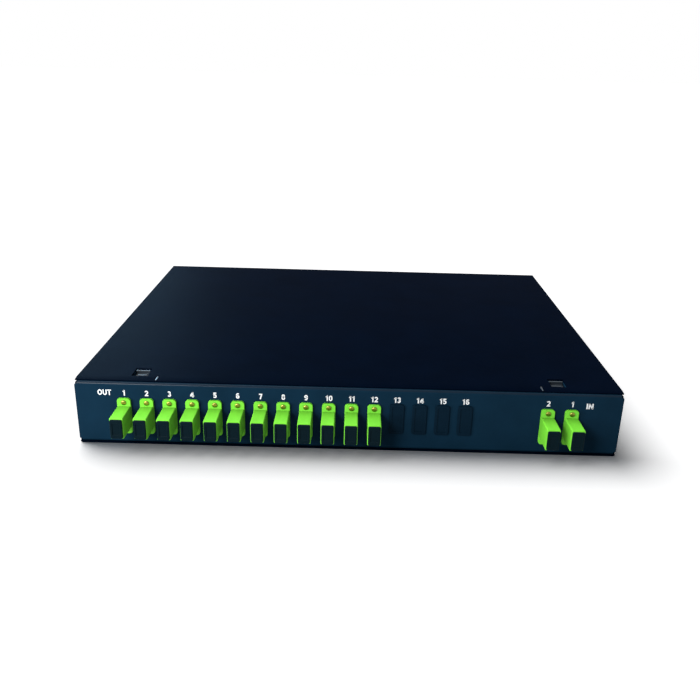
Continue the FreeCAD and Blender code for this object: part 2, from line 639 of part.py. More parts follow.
def build_cap(node, place):
    """Push-in dust cap: a lid over the mouth and a hollow skirt in the socket."""
    body = new_body(node, place)
    seat = "(adapter_front + cap_seat)"
    lid = rectangle(body, "XZ_Plane", "lid_outline", "cap_width", "cap_height", ("0", "0", seat))
    plate = pad(body, lid, "lid", "cap_thick")
    settle(plate)
    fillet(body, plate, "lid_corners", edges_along(plate, Y), "cap_corner")
    sunk = rectangle(body, "XZ_Plane", "sunk_panel_outline", "cap_panel_width", "cap_panel_height",
                     ("0", "0", seat + " + cap_thick"))
    pocket(body, sunk, "sunk_panel", "cap_panel_depth")
    skirt = rectangle(body, "XZ_Plane", "skirt_outline", "socket_width - 2 * cap_play",
                      "socket_height - 2 * cap_play", ("0", "0", seat + " - cap_skirt"))
    pad(body, skirt, "skirt", "cap_skirt")
    hollow = rectangle(
        body, "XZ_Plane", "skirt_hollow_outline", "socket_width - 2 * cap_play - 2 * cap_wall",
        "socket_height - 2 * cap_play - 2 * cap_wall", ("0", "0", seat + " - cap_skirt"))
    pocket(body, hollow, "skirt_hollow", "cap_skirt", backwards=True)


def build_blank(node, place):
    """Blanking plate on the panel's face with a hollow plug in the cut-out."""
    body = new_body(node, place)
    face = rectangle(body, "XZ_Plane", "plate_outline", "blank_width", "blank_height",
                     ("0", "blank_rise", "0"))
    plate = pad(body, face, "plate", "blank_thick")
    settle(plate)
    fillet(body, plate, "plate_corners", edges_along(plate, Y), "flange_corner")
    sunk = rectangle(body, "XZ_Plane", "sunk_panel_outline", "blank_panel_width", "blank_panel_height",
                     ("0", "blank_rise", "blank_thick"))
    pocket(body, sunk, "sunk_panel", "blank_panel_depth")
    plug = rectangle(body, "XZ_Plane", "plug_outline", "adapter_width", "adapter_height",
                     ("0", "0", "-blank_plug"))
    pad(body, plug, "plug", "blank_plug")
    hollow = rectangle(body, "XZ_Plane", "plug_hollow_outline", "adapter_width - 2 * blank_wall",
                       "adapter_height - 2 * blank_wall", ("0", "0", "-blank_plug"))
    pocket(body, hollow, "plug_hollow", "blank_plug", backwards=True)


def build_adapter_screws():
    """Slotted screws through the flanges' ears and the panel."""
    body = new_body("adapter_screws")

    def draw(name, first):
        height = "port_height - flange_screw_spacing / 2"
        inner_end = "-(panel_sheet + flange_nut_thick + screw_tail)"
        shank = circle(body, "XZ_Plane", name + "_shank_outline", "flange_screw_radius",
                       (first, height, inner_end))
        head = circle(body, "XZ_Plane", name + "_head_outline", "flange_head_radius",
                      (first, height, "flange_thick"))
        slot = rectangle(
            body, "XZ_Plane", name + "_slot_outline", "2 * flange_head_radius + overcut", "recess_width",
            (first, height, "flange_thick + flange_head_height"))
        return [
            pad(body, shank, name + "_shank", "flange_thick + panel_sheet + flange_nut_thick + screw_tail"),
            pad(body, head, name + "_head", "flange_head_height"),
            pocket(body, slot, name + "_slot", "recess_depth"),
        ]

    for row in at_ports(body, draw):
        across(row, body, "Z_Axis", 2, "flange_screw_spacing")


def build_adapter_nuts():
    """Hexagon nuts behind the panel."""
    body = new_body("adapter_nuts")
    corner = "flange_nut_width / 2 / cos(30)"

    def draw(name, first):
        corners = [("%s * cos(%d)" % (corner, turn), "%s * sin(%d)" % (corner, turn))
                   for turn in range(0, 360, 60)]
        shape = outline(body, "XZ_Plane", name + "_nut_outline", corners, (
            first, "port_height - flange_screw_spacing / 2", "-panel_sheet - flange_nut_thick"))
        add_circle(shape, "bore", "flange_screw_radius + thread_play")
        return [pad(body, shape, name + "_nut", "flange_nut_thick")]

    for row in at_ports(body, draw):
        across(row, body, "Z_Axis", 2, "flange_screw_spacing")


def build_sleeves():
    """Slit ceramic sleeves that line up the two ferrules of a joint."""
    body = new_body("alignment_sleeves")

    def draw(name, first):
        shift = (first, "port_height", "-" + ADAPTER_MIDDLE)
        ring = circle(body, "XZ_Plane", name + "_sleeve_outline", "sleeve_radius", shift)
        add_circle(ring, "bore", "sleeve_radius - sleeve_wall")
        slit = rectangle(body, "XZ_Plane", name + "_slit_outline", "sleeve_slit", "2 * sleeve_wall",
                         (first, "port_height + sleeve_radius - sleeve_wall / 2", "-" + ADAPTER_MIDDLE))
        return [
            pad(body, ring, name + "_sleeve", "sleeve_length", midplane=True),
            pocket(body, slit, name + "_slit", "sleeve_length", midplane=True),
        ]

    at_ports(body, draw)


def build_plugs():
    """Factory plugs on the inner side: housings, ferrules and boots."""
    housings = new_body("plug_housings")
    ferrules = new_body("plug_ferrules")
    boots = new_body("plug_boots")

    def draw_housing(name, first):
        shape = rectangle(
            housings, "XZ_Plane", name + "_housing_outline", "socket_width - 2 * plug_play",
            "socket_height - 2 * plug_play", (first, "port_height", "-" + PLUG_REAR))
        return [pad(housings, shape, name + "_housing", "plug_length")]

    def draw_ferrule(name, first):
        shape = circle(ferrules, "XZ_Plane", name + "_ferrule_outline",
                       "sleeve_radius - sleeve_wall - ferrule_play", (first, "port_height", "-plug_start"))
        return [pad(ferrules, shape, name + "_ferrule", "plug_start - " + ADAPTER_MIDDLE)]

    def draw_boot(name, first):
        return [cone(boots, "AdditiveCone", "XZ_Plane", name + "_boot", (
            "boot_rear_radius", "boot_front_radius", "boot_length"), (first, "port_height", "-" + BOOT_REAR))]

    at_ports(housings, draw_housing)
    at_ports(ferrules, draw_ferrule)
    at_ports(boots, draw_boot)


# ---------------------------------------------------------------- splitter module

def build_module_case():
    """Open case on standoffs, with a post in each corner and a row of outlets."""
    body = new_body("module_case")
    middle = MODULE_FRONT + " + module_depth / 2"
    block = rectangle(body, "XY_Plane", "case_outline", "module_width", "module_depth",
                      ("0", middle, MODULE_BASE))
    pad(body, block, "case", "module_height - module_lid_thick")
    hollow = rectangle(
        body, "XY_Plane", "hollow_outline", "module_width - 2 * module_wall",
        "module_depth - 2 * module_wall", ("0", middle, MODULE_BASE + " + module_wall"))
    pocket(body, hollow, "hollow", "module_height", backwards=True)
    post = circle(body, "XY_Plane", "post_outline", "boss_radius", FIRST_POST + (MODULE_BASE,))
    posts = pattern(body, [pad(body, post, "post", "module_height - module_lid_thick")], "posts",
                    "X_Axis", 2, POST_SPACING_X)
    across(posts, body, "Y_Axis", 2, POST_SPACING_Y)
    hole = circle(body, "XY_Plane", "post_hole_outline", "module_screw_radius + thread_play",
                  FIRST_POST + (MODULE_BASE,))
    holes = pattern(body, [pocket(body, hole, "post_hole", "module_height", backwards=True)], "post_holes",
                    "X_Axis", 2, POST_SPACING_X)
    across(holes, body, "Y_Axis", 2, POST_SPACING_Y)
    outlet = circle(body, "XZ_Plane", "outlet_outline", "fibre_radius + outlet_play",
                    ("-outlet_pitch * %g" % ((OUT_COUNT + IN_COUNT - 1) / 2), OUTLET_HEIGHT,
                     "-" + MODULE_FRONT))
    pattern(body, [pocket(body, outlet, "outlet", "2 * module_wall", midplane=True)], "outlets", "X_Axis",
            OUT_COUNT + IN_COUNT, "outlet_pitch * %d" % (OUT_COUNT + IN_COUNT - 1))


def build_module_lid():
    body = new_body("module_lid")
    level = MODULE_TOP + " - module_lid_thick"
    plate = rectangle(body, "XY_Plane", "lid_outline", "module_width", "module_depth",
                      ("0", MODULE_FRONT + " + module_depth / 2", level))
    pad(body, plate, "lid", "module_lid_thick")
    hole = circle(body, "XY_Plane", "hole_outline", "module_screw_radius + thread_play",
                  FIRST_POST + (level,))
    holes = pattern(body, [pocket(body, hole, "hole", "module_lid_thick", backwards=True)], "holes",
                    "X_Axis", 2, POST_SPACING_X)
    across(holes, body, "Y_Axis", 2, POST_SPACING_Y)


def build_module_standoffs():
    """Round standoffs on the tray's base, in line with the module's posts."""
    body = new_body("module_standoffs")
    ring = circle(body, "XY_Plane", "ring_outline", "standoff_radius", FIRST_POST + ("tray_sheet",))
    add_circle(ring, "bore", "module_screw_radius + thread_play")
    rings = pattern(body, [pad(body, ring, "standoff", "standoff_height")], "standoffs",
                    "X_Axis", 2, POST_SPACING_X)
    across(rings, body, "Y_Axis", 2, POST_SPACING_Y)


def build_module_screws():
    """Screws through the module's lid and posts into the standoffs."""
    body = new_body("module_screws")
    shank = circle(body, "XY_Plane", "shank_outline", "module_screw_radius",
                   FIRST_POST + ("tray_sheet + module_screw_end",))
    head = circle(body, "XY_Plane", "head_outline", "module_head_radius", FIRST_POST + (MODULE_TOP,))
    features = [
        pad(body, shank, "shank", "standoff_height + module_height - module_screw_end"),
        pad(body, head, "head", "module_head_height"),
    ]
    screws = pattern(body, features, "screws", "X_Axis", 2, POST_SPACING_X)
    across(screws, body, "Y_Axis", 2, POST_SPACING_Y)


def build_chip():
    """The lightwave chip and its fibre arrays, one bar on the module's floor."""
    body = new_body("plc_chip")
    bar = rectangle(body, "XY_Plane", "chip_outline", "chip_width", "chip_depth",
                    ("0", MODULE_FRONT + " + module_depth / 2", MODULE_BASE + " + module_wall"))
    pad(body, bar, "chip", "chip_height")


def s_bend(start, end, radius):
    """A round fibre from start to end that leaves and arrives along Y.

    Its path is two equal arcs that meet half way, in the plane of the offset.
    """
    run = start.y - end.y
    offset = FreeCAD.Vector(end.x - start.x, 0, end.z - start.z)
    lateral = offset.Length
    bend = (lateral ** 2 + run ** 2) / (4 * lateral)
    turn = math.asin(run / (2 * bend)) if lateral < run else math.pi - math.asin(run / (2 * bend))
    sideways = offset.normalize()
    forwards = FreeCAD.Vector(0, -1, 0)

    def on_first_arc(share):
        angle = turn * share
        return forwards * (bend * math.sin(angle)) + sideways * (bend * (1 - math.cos(angle)))

    halfway = start + on_first_arc(1.0)
    first = Part.Arc(start, start + on_first_arc(0.5), halfway).toShape()
    second = Part.Arc(halfway, end - on_first_arc(0.5), end).toShape()
    profile = Part.Wire([Part.makeCircle(radius, start, forwards)])
    return Part.Wire([first, second]).makePipeShell([profile], True, True)


def build_fibres():
    """Buffered fibres from the module's outlets to the boots of the plugs."""
    outlets = OUT_COUNT + IN_COUNT
    front = size("box_depth") - size("module_rear") - size("module_depth")
    height = size("tray_sheet") + size("standoff_height") + size("module_height") / 2
    boot_end = size("plug_start") + size("plug_length") + size("boot_length")
    half = size("box_width") / 2
    outputs = [size("out_margin") - half + size("out_pitch") * number for number in range(OUT_COUNT)]
    inputs = [half - size("in_margin") - size("in_pitch") * number for number in range(IN_COUNT)]
    radius = size("fibre_radius")
    tubes = []
    for number, across_x in enumerate(outputs + sorted(inputs)):
        outlet_x = size("outlet_pitch") * (number - (outlets - 1) / 2)
        outlet = FreeCAD.Vector(outlet_x, front, height)
        plug = FreeCAD.Vector(across_x, boot_end, size("port_height"))
        stub = Part.makeCylinder(radius, size("fibre_inside"), outlet, FreeCAD.Vector(0, 1, 0))
        tubes.append(stub.fuse(s_bend(outlet, plug, radius)).removeSplitter())
    for node, members in (("output_fibres", tubes[:OUT_COUNT]), ("input_fibres", tubes[OUT_COUNT:])):
        group = doc.addObject("Part::Feature", node)
        group.Label = node
        group.Shape = Part.makeCompound(members)
        bind(group, "Placement.Base.y", "-box_depth / 2")


# ---------------------------------------------------------------- the box's own screws

def build_panel_screws():
    """Countersunk screws up through the tray into the panel's bottom return."""
    body = new_body("panel_screws")
    place = ("panel_screw_margin - box_width / 2", "panel_screw_setback")
    head = cone(body, "AdditiveCone", "XY_Plane", "head", (
        "sunk_head_radius", "m3_radius", "tray_sheet - sunk_head_gap"), place + ("sunk_head_gap",))
    shank = circle(body, "XY_Plane", "shank_outline", "m3_radius", place + ("sunk_head_gap",))
    slot = rectangle(body, "XY_Plane", "slot_outline", "sunk_slot_length", "recess_width",
                     place + ("sunk_head_gap",))
    features = [
        head,
        pad(body, shank, "shank", "tray_sheet + panel_sheet + m3_tail"),
        pocket(body, slot, "slot", "recess_depth", backwards=True),
    ]
    pattern(body, features, "screws", "X_Axis", PANEL_SCREW_COUNT, "box_width - 2 * panel_screw_margin")


def build_cover_screws():
    """Pan-head screws through the cover's rear flange into the tray's rear wall."""
    body = new_body("cover_screws")
    place = ("cover_screw_margin - box_width / 2", "box_height - cover_screw_drop")
    head = circle(body, "XZ_Plane", "head_outline", "pan_head_radius",
                  place + ("-box_depth - pan_head_height",))
    shank = circle(body, "XZ_Plane", "shank_outline", "m3_radius", place + ("-box_depth",))
    slot = rectangle(body, "XZ_Plane", "slot_outline", "2 * pan_head_radius + overcut", "pan_slot_width",
                     place + ("-box_depth - pan_head_height",))
    features = [
        pad(body, head, "head", "pan_head_height"),
        pad(body, shank, "shank", "cover_sheet + sheet_gap + tray_sheet + m3_tail"),
        pocket(body, slot, "slot", "pan_slot_depth", backwards=True),
    ]
    pattern(body, features, "screws", "X_Axis", COVER_SCREW_COUNT, "box_width - 2 * cover_screw_margin")


# ---------------------------------------------------------------- run

build_tray()
build_front_panel()
build_cover()
for side, sign in (("left", "-"), ("right", "")):
    build_hook(side, sign)
    build_key(side, sign)
for number in range(1, OUT_COUNT + 1):
    build_adapter("adapter_out_%02d" % number, out_place(number))
    build_cap("dust_cap_out_%02d" % number, out_place(number))
for number in range(1, IN_COUNT + 1):
    build_adapter("adapter_in_%d" % number, in_place(number))
    build_cap("dust_cap_in_%d" % number, in_place(number))
for number in range(OUT_COUNT + 1, OUT_COUNT + BLANK_COUNT + 1):
    build_blank("blank_%d" % number, out_place(number))
for build in (build_adapter_screws, build_adapter_nuts, build_sleeves, build_plugs, build_module_case,
              build_module_lid, build_module_standoffs, build_module_screws, build_chip, build_fibres,
              build_panel_screws, build_cover_screws):
    build()
NODE_TYPES = ("PartDesign::Body", "Part::Feature")
for thing in doc.Objects:
    if thing.TypeId == "PartDesign::Body":
        thing.Tip.Refine = True
doc.recompute()

os.makedirs("parts", exist_ok=True)
for thing in doc.Objects:
    if "Invalid" in thing.State or "Error" in thing.State:
        raise RuntimeError("%s failed: %s" % (thing.Name, thing.State))
for thing in doc.Objects:
    if thing.TypeId in NODE_TYPES:
        shape = thing.Shape
        if shape.isNull() or not shape.isValid():
            raise RuntimeError("%s has no valid shape" % thing.Label)
        shape.exportStep("parts/%s.step" % thing.Label)
        box = shape.BoundBox
        print("%-22s %2d solids %9.1f mm3  x %.1f..%.1f y %.1f..%.1f z %.1f..%.1f" % (
            thing.Label, len(shape.Solids), shape.Volume, box.XMin, box.XMax, box.YMin, box.YMax,
            box.ZMin, box.ZMax))
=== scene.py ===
import json
import math

import bmesh
import bpy
from bpy.props import FloatProperty, FloatVectorProperty, IntProperty, PointerProperty
from bpy.types import Operator, Panel, PropertyGroup
from mathutils import Matrix, Vector

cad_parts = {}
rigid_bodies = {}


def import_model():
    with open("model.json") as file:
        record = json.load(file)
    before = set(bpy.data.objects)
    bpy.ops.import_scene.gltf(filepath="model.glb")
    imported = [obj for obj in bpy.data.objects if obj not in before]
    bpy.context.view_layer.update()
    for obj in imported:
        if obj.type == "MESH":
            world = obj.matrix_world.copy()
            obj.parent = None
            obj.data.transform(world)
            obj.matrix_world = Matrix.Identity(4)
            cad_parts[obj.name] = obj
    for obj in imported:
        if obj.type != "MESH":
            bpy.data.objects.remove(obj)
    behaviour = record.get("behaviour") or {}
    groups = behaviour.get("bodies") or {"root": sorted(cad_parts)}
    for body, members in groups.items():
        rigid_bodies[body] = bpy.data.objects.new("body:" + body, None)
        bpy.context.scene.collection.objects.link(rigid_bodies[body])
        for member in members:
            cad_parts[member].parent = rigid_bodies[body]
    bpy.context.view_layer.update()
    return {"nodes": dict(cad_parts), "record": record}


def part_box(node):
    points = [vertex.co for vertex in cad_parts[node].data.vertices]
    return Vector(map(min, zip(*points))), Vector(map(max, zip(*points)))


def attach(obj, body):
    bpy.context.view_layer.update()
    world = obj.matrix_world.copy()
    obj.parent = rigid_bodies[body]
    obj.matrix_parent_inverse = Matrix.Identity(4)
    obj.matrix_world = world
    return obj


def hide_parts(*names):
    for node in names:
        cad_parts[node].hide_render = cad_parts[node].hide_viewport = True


bl_info = {
    "name": "Fibre splitter box",
    "version": (1, 0, 0),
    "blender": (4, 5, 0),
    "location": "View3D > Sidebar > Splitter",
    "description": "Dresses the jointed model of a fibre splitter box with detailed pieces and finishes",
    "category": "Object",
}

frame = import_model()
NODES = frame["nodes"]
HOUSING = "housing"
OUTPUTS = sorted(name for name in NODES if name.startswith("adapter_out_"))
INPUTS = ["adapter_in_1", "adapter_in_2"]
BLANKS = sorted(name for name in NODES if name.startswith("blank_"))
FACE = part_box("front_panel")[0].y
SLOT_OF = {part["node"]: part["material_slot"] for part in frame["record"]["subparts"]}
PORT_PIECES = ("output_adapters", "input_adapters", "cap_moulding_", "flange_screws")


def middle(node):
    """Centre of a node's box at rest."""
    low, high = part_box(node)
    return (low + high) / 2


def port(node):
    """The axis of a port, or of a spare place, where it crosses the panel's face."""
    return Vector((middle(node).x, FACE, middle(OUTPUTS[0]).z))


# ---------------------------------------------------------------- sizes and colours

class SplitterSizes(PropertyGroup):
    edge_round: FloatProperty(
        name="Edge rounding", description="Radius of the coat over the sheet's cut edges",
        default=0.00022, unit="LENGTH")
    flange_corner: FloatProperty(
        name="Flange corner", description="Corner radius of the adapters' flanges",
        default=0.0020, unit="LENGTH")
    body_width: FloatProperty(
        name="Adapter width", description="Width of an adapter's body", default=0.0084, unit="LENGTH")
    body_height: FloatProperty(
        name="Adapter height", description="Height of an adapter's body", default=0.0140, unit="LENGTH")
    socket_width: FloatProperty(
        name="Socket width", description="Width of the plug socket", default=0.0074, unit="LENGTH")
    socket_height: FloatProperty(
        name="Socket height", description="Height of the plug socket", default=0.0094, unit="LENGTH")
    screw_radius: FloatProperty(
        name="Flange screw head", description="Radius of a flange screw's head",
        default=0.0017, unit="LENGTH")
    screw_rise: FloatProperty(
        name="Flange screw rise", description="Height of a flange screw's head",
        default=0.0009, unit="LENGTH")
    cap_panel_width: FloatProperty(
        name="Cap panel width", description="Width of the sunk panel in a dust cap",
        default=0.0048, unit="LENGTH")
    cap_panel_height: FloatProperty(
        name="Cap panel height", description="Height of the sunk panel in a dust cap",
        default=0.0080, unit="LENGTH")
    flange_thick: FloatProperty(
        name="Flange thickness", description="Thickness of the adapters' flanges",
        default=0.0020, unit="LENGTH")
    number_height: FloatProperty(
        name="Number height", description="Height of the printed numbers", default=0.0038, unit="LENGTH")
    number_base: FloatProperty(
        name="Number base", description="Port axis to the numbers' feet", default=0.0136, unit="LENGTH")
    stroke_weight: FloatProperty(
        name="Stroke weight", description="Width of the printed strokes against their height",
        default=0.20, min=0.05, max=0.4)
    ink_thickness: FloatProperty(
        name="Ink thickness", description="Thickness of the printed ink", default=0.00005, unit="LENGTH")


class SplitterFinishes(PropertyGroup):
    # A much darker copy of the panel's coat, used on the cover and tray: painted shade on the top.
    cover_coat: FloatVectorProperty(
        name="Shaded cover coat", description="Colour of the coat on the cover and tray", subtype="COLOR",
        size=3, default=(0.0004, 0.0022, 0.0072), min=0.0, max=1.0)
    panel_coat: FloatVectorProperty(
        name="Panel coat", description="Colour of the coat on the front panel", subtype="COLOR",
        size=3, default=(0.0042, 0.0205, 0.0405), min=0.0, max=1.0)
    # A darker copy of the panel's coat on its bend: painted shade.
    bend_coat: FloatVectorProperty(
        name="Bend shaded coat", description="Colour of the coat where the panel bends back", subtype="COLOR",
        size=3, default=(0.0025, 0.0125, 0.0260), min=0.0, max=1.0)
    adapter_green: FloatVectorProperty(
        name="Adapter green", description="Colour of the moulded adapters", subtype="COLOR",
        size=3, default=(0.190, 0.700, 0.045), min=0.0, max=1.0)
    cap_black: FloatVectorProperty(
        name="Cap black", description="Colour of the dust caps", subtype="COLOR",
        size=3, default=(0.0015, 0.0080, 0.0120), min=0.0, max=1.0)
    blank_black: FloatVectorProperty(
        name="Blank black", description="Colour of the blanking plates", subtype="COLOR",
        size=3, default=(0.0022, 0.0110, 0.0220), min=0.0, max=1.0)
    screw_gold: FloatVectorProperty(
        name="Screw plating", description="Colour of the plated flange screws", subtype="COLOR",
        size=3, default=(0.27, 0.26, 0.05), min=0.0, max=1.0)
    steel_grey: FloatVectorProperty(
        name="Steel", description="Colour of the bare steel", subtype="COLOR",
        size=3, default=(0.55, 0.56, 0.57), min=0.0, max=1.0)
    hook_steel: FloatVectorProperty(
        name="Hook steel", description="Colour of the dark spring steel", subtype="COLOR",
        size=3, default=(0.022, 0.030, 0.040), min=0.0, max=1.0)
    # A lighter colour on the hooks' rounded edges: a painted highlight.
    edge_highlight_colour: FloatVectorProperty(
        name="Edge highlight colour", description="Colour of the painted highlight on the hooks' rounded edges", subtype="COLOR",
        size=3, default=(0.075, 0.090, 0.105), min=0.0, max=1.0)
    ink_white: FloatVectorProperty(
        name="Ink", description="Colour of the printed numbers and words", subtype="COLOR",
        size=3, default=(0.90, 0.92, 0.92), min=0.0, max=1.0)
    coat_roughness: FloatProperty(
        name="Coat roughness", description="Roughness of the coat", subtype="FACTOR",
        default=0.46, min=0.0, max=1.0)
    cover_gloss: FloatProperty(
        name="Cover gloss", description="Strength of the reflections on the cover", subtype="FACTOR",
        default=0.001, min=0.0, max=1.0)
    panel_gloss: FloatProperty(
        name="Panel gloss", description="Strength of the reflections on the panel", subtype="FACTOR",
        default=0.02, min=0.0, max=1.0)
    bend_gloss: FloatProperty(
        name="Bend gloss", description="Strength of the reflections on the panel's bend",
        subtype="FACTOR", default=0.12, min=0.0, max=1.0)
    bend_roughness: FloatProperty(
        name="Bend roughness", description="Roughness of the coat on the panel's bend", subtype="FACTOR",
        default=0.26, min=0.0, max=1.0)


class SplitterStudio(PropertyGroup):
    eye: FloatVectorProperty(
        name="Eye", description="Place of the camera", subtype="TRANSLATION", unit="LENGTH",
        size=3, default=(0.00131, -0.59312, 0.24158))
    azimuth: FloatProperty(
        name="Azimuth", description="Turn of the camera to the left", subtype="ANGLE",
        default=math.radians(0.174))
    elevation: FloatProperty(
        name="Elevation", description="How far the camera looks down", subtype="ANGLE",
        default=math.radians(20.893))
    roll: FloatProperty(
        name="Roll", description="Turn of the camera about its own axis", subtype="ANGLE",
        default=math.radians(-1.467))
    lens: FloatProperty(name="Lens", description="Focal length in millimetres", default=39.856, min=1.0)
    floor_reach: FloatProperty(
        name="Floor reach", description="Half the width of the floor", default=9.0, unit="LENGTH")
    sun_level: FloatProperty(
        name="Sun level", description="Light of the sun lamp on level ground", default=0.72, min=0.0)
    sun_way: FloatVectorProperty(
        name="Sun direction", description="Way from the object to the sun lamp", subtype="XYZ",
        size=3, default=(-0.42, 0.48, 0.80))
    sun_spread: FloatProperty(
        name="Sun spread", description="Apparent size of the sun lamp", subtype="ANGLE",
        default=math.radians(52))
    sheen_power: FloatProperty(
        name="Sheen power", description="Power of the low lamp behind at the left",
        default=38.0, unit="POWER")
    fill_power: FloatProperty(
        name="Fill power", description="Power of the lamp in front at the left",
        default=6.2, unit="POWER")
    side_power: FloatProperty(
        name="Side power", description="Power of the small lamp near the left of the panel",
        default=1.3, unit="POWER")
    ambient: FloatProperty(
        name="Ambient", description="Level of the light from all round", default=0.14, min=0.0)


# ---------------------------------------------------------------- materials

FINISHES = {}


class Nodes:
    """A short way to add and link the nodes of one material."""

    def __init__(self, name):
        self.material = bpy.data.materials.new(name)
        self.material.use_nodes = True
        self.tree = self.material.node_tree
        self.tree.nodes.clear()

    def add(self, kind, settings=None, **inputs):
        node = self.tree.nodes.new("ShaderNode" + kind)
        for key, value in (settings or {}).items():
            setattr(node, key, value)
        for key, value in inputs.items():
            socket = node.inputs[key.replace("_", " ")]
            if isinstance(value, bpy.types.NodeSocket):
                self.tree.links.new(value, socket)
            else:
                socket.default_value = value
        return node

    def link(self, source, target):
        self.tree.links.new(source, target)


def noise(nodes, place, scale, detail=3.0, roughness=0.55):
    """A 0 to 1 noise of a given scale, in waves a metre."""
    texture = nodes.add("TexNoise", Scale=scale, Detail=detail, Roughness=roughness)
    nodes.link(place, texture.inputs["Vector"])
    return texture.outputs["Fac"]


def spread(nodes, source, low, high, start=0.3, end=0.7):
    """Stretch a 0 to 1 value between two levels."""
    stretch = nodes.add("MapRange")
    nodes.link(source, stretch.inputs["Value"])
    for socket, value in (("From Min", start), ("From Max", end), ("To Min", low), ("To Max", high)):
        stretch.inputs[socket].default_value = value
    return stretch.outputs["Result"]


def tint(nodes, factor, first, second):
    """A colour between two others."""
    mix = nodes.add("Mix", {"data_type": "RGBA"})
    nodes.link(factor, mix.inputs[0])
    mix.inputs[6].default_value = (*first, 1.0)
    mix.inputs[7].default_value = (*second, 1.0)
    return mix.outputs[2]


def bump(nodes, height, distance, strength=1.0, under=None):
    """A normal from a height, over another normal where there is one."""
    node = nodes.add("Bump", Strength=strength, Distance=distance)
    nodes.link(height, node.inputs["Height"])
    if under:
        nodes.link(under, node.inputs["Normal"])
    return node.outputs["Normal"]


def shaded(colour, factor):
    """The colour made darker or lighter."""
    return tuple(min(1.0, channel * factor) for channel in colour)


def close(nodes, colour, roughness, normal, metallic=0.0, specular=0.5, **fixed):
    """End a material in one shader; the other inputs are levels on its own sockets."""
    shader = nodes.add("BsdfPrincipled")
    nodes.link(colour, shader.inputs["Base Color"])
    nodes.link(roughness, shader.inputs["Roughness"])
    nodes.link(normal, shader.inputs["Normal"])
    shader.inputs["Metallic"].default_value = metallic
    shader.inputs["Specular IOR Level"].default_value = specular
    for key, value in fixed.items():
        shader.inputs[key.replace("_", " ")].default_value = value
    output = nodes.add("OutputMaterial")
    nodes.link(shader.outputs["BSDF"], output.inputs["Surface"])
    return nodes.material


def coat(name, colour, roughness, specular):
    """Baked powder coat: fine orange peel, a little mottling and softer patches."""
    nodes = Nodes(name)
    place = nodes.add("TexCoord").outputs["Object"]
    mottle = spread(nodes, noise(nodes, place, 35.0, 5.0), 0.0, 1.0)
    colour_out = tint(nodes, mottle, shaded(colour, 0.86), shaded(colour, 1.14))
    patches = spread(nodes, noise(nodes, place, 14.0, 4.0), roughness - 0.015, roughness + 0.02)
    peel = noise(nodes, place, 1100.0, 2.0)
    grains = noise(nodes, place, 3600.0, 1.0)
    normal = bump(nodes, grains, 0.00002, 0.5, bump(nodes, peel, 0.00006, 0.45))
    return close(nodes, colour_out, patches, normal, specular=specular)


def moulding(name, colour, roughness, specular, grain, grain_depth):
    """Moulded plastic: slight flow marks in the colour and a fine surface grain."""
    nodes = Nodes(name)
    place = nodes.add("TexCoord").outputs["Object"]
    flow = nodes.add("Mapping")
    nodes.link(place, flow.inputs["Vector"])
    flow.inputs["Scale"].default_value = (1.0, 0.25, 1.0)
    marks = spread(nodes, noise(nodes, flow.outputs["Vector"], 260.0, 4.0), 0.0, 1.0)
    colour_out = tint(nodes, marks, shaded(colour, 0.93), shaded(colour, 1.05))
    gloss = spread(nodes, noise(nodes, place, 420.0, 3.0), roughness - 0.04, roughness + 0.06)
    normal = bump(nodes, noise(nodes, place, grain, 2.0), grain_depth, 0.5)
    return close(nodes, colour_out, gloss, normal, specular=specular)


def metal(name, colour, roughness, along, metallic=1.0):
    """Drawn or turned metal, its fine lines along one axis."""
    nodes = Nodes(name)
    place = nodes.add("TexCoord").outputs["Object"]
    lines = nodes.add("Mapping")
    nodes.link(place, lines.inputs["Vector"])
    lines.inputs["Scale"].default_value = along
    streaks = noise(nodes, lines.outputs["Vector"], 900.0, 4.0)
    colour_out = tint(nodes, spread(nodes, streaks, 0.0, 1.0), shaded(colour, 0.82), shaded(colour, 1.1))
    gloss = spread(nodes, streaks, roughness - 0.06, roughness + 0.10)
    normal = bump(nodes, streaks, 0.00002, 0.5)
    return close(nodes, colour_out, gloss, normal, metallic=metallic, specular=0.3)


def ink(name, colour):
    """Screen-printed ink, slightly uneven."""
    nodes = Nodes(name)
    place = nodes.add("TexCoord").outputs["Object"]
    worn = spread(nodes, noise(nodes, place, 1500.0, 3.0), 0.0, 1.0)
    colour_out = tint(nodes, worn, shaded(colour, 0.88), colour)
    gloss = spread(nodes, noise(nodes, place, 700.0, 2.0), 0.45, 0.6)
    normal = bump(nodes, noise(nodes, place, 2500.0, 2.0), 0.00001, 0.4)
    return close(nodes, colour_out, gloss, normal)


def glass(name, colour):
    """Clear glass with a slight haze."""
    nodes = Nodes(name)
    place = nodes.add("TexCoord").outputs["Object"]
    haze = spread(nodes, noise(nodes, place, 300.0, 2.0), 0.0, 1.0)
    colour_out = tint(nodes, haze, shaded(colour, 0.96), colour)
    gloss = spread(nodes, noise(nodes, place, 500.0, 2.0), 0.03, 0.08)
    normal = bump(nodes, noise(nodes, place, 800.0, 1.0), 0.000005, 0.3)
    return close(nodes, colour_out, gloss, normal, Transmission_Weight=0.9)


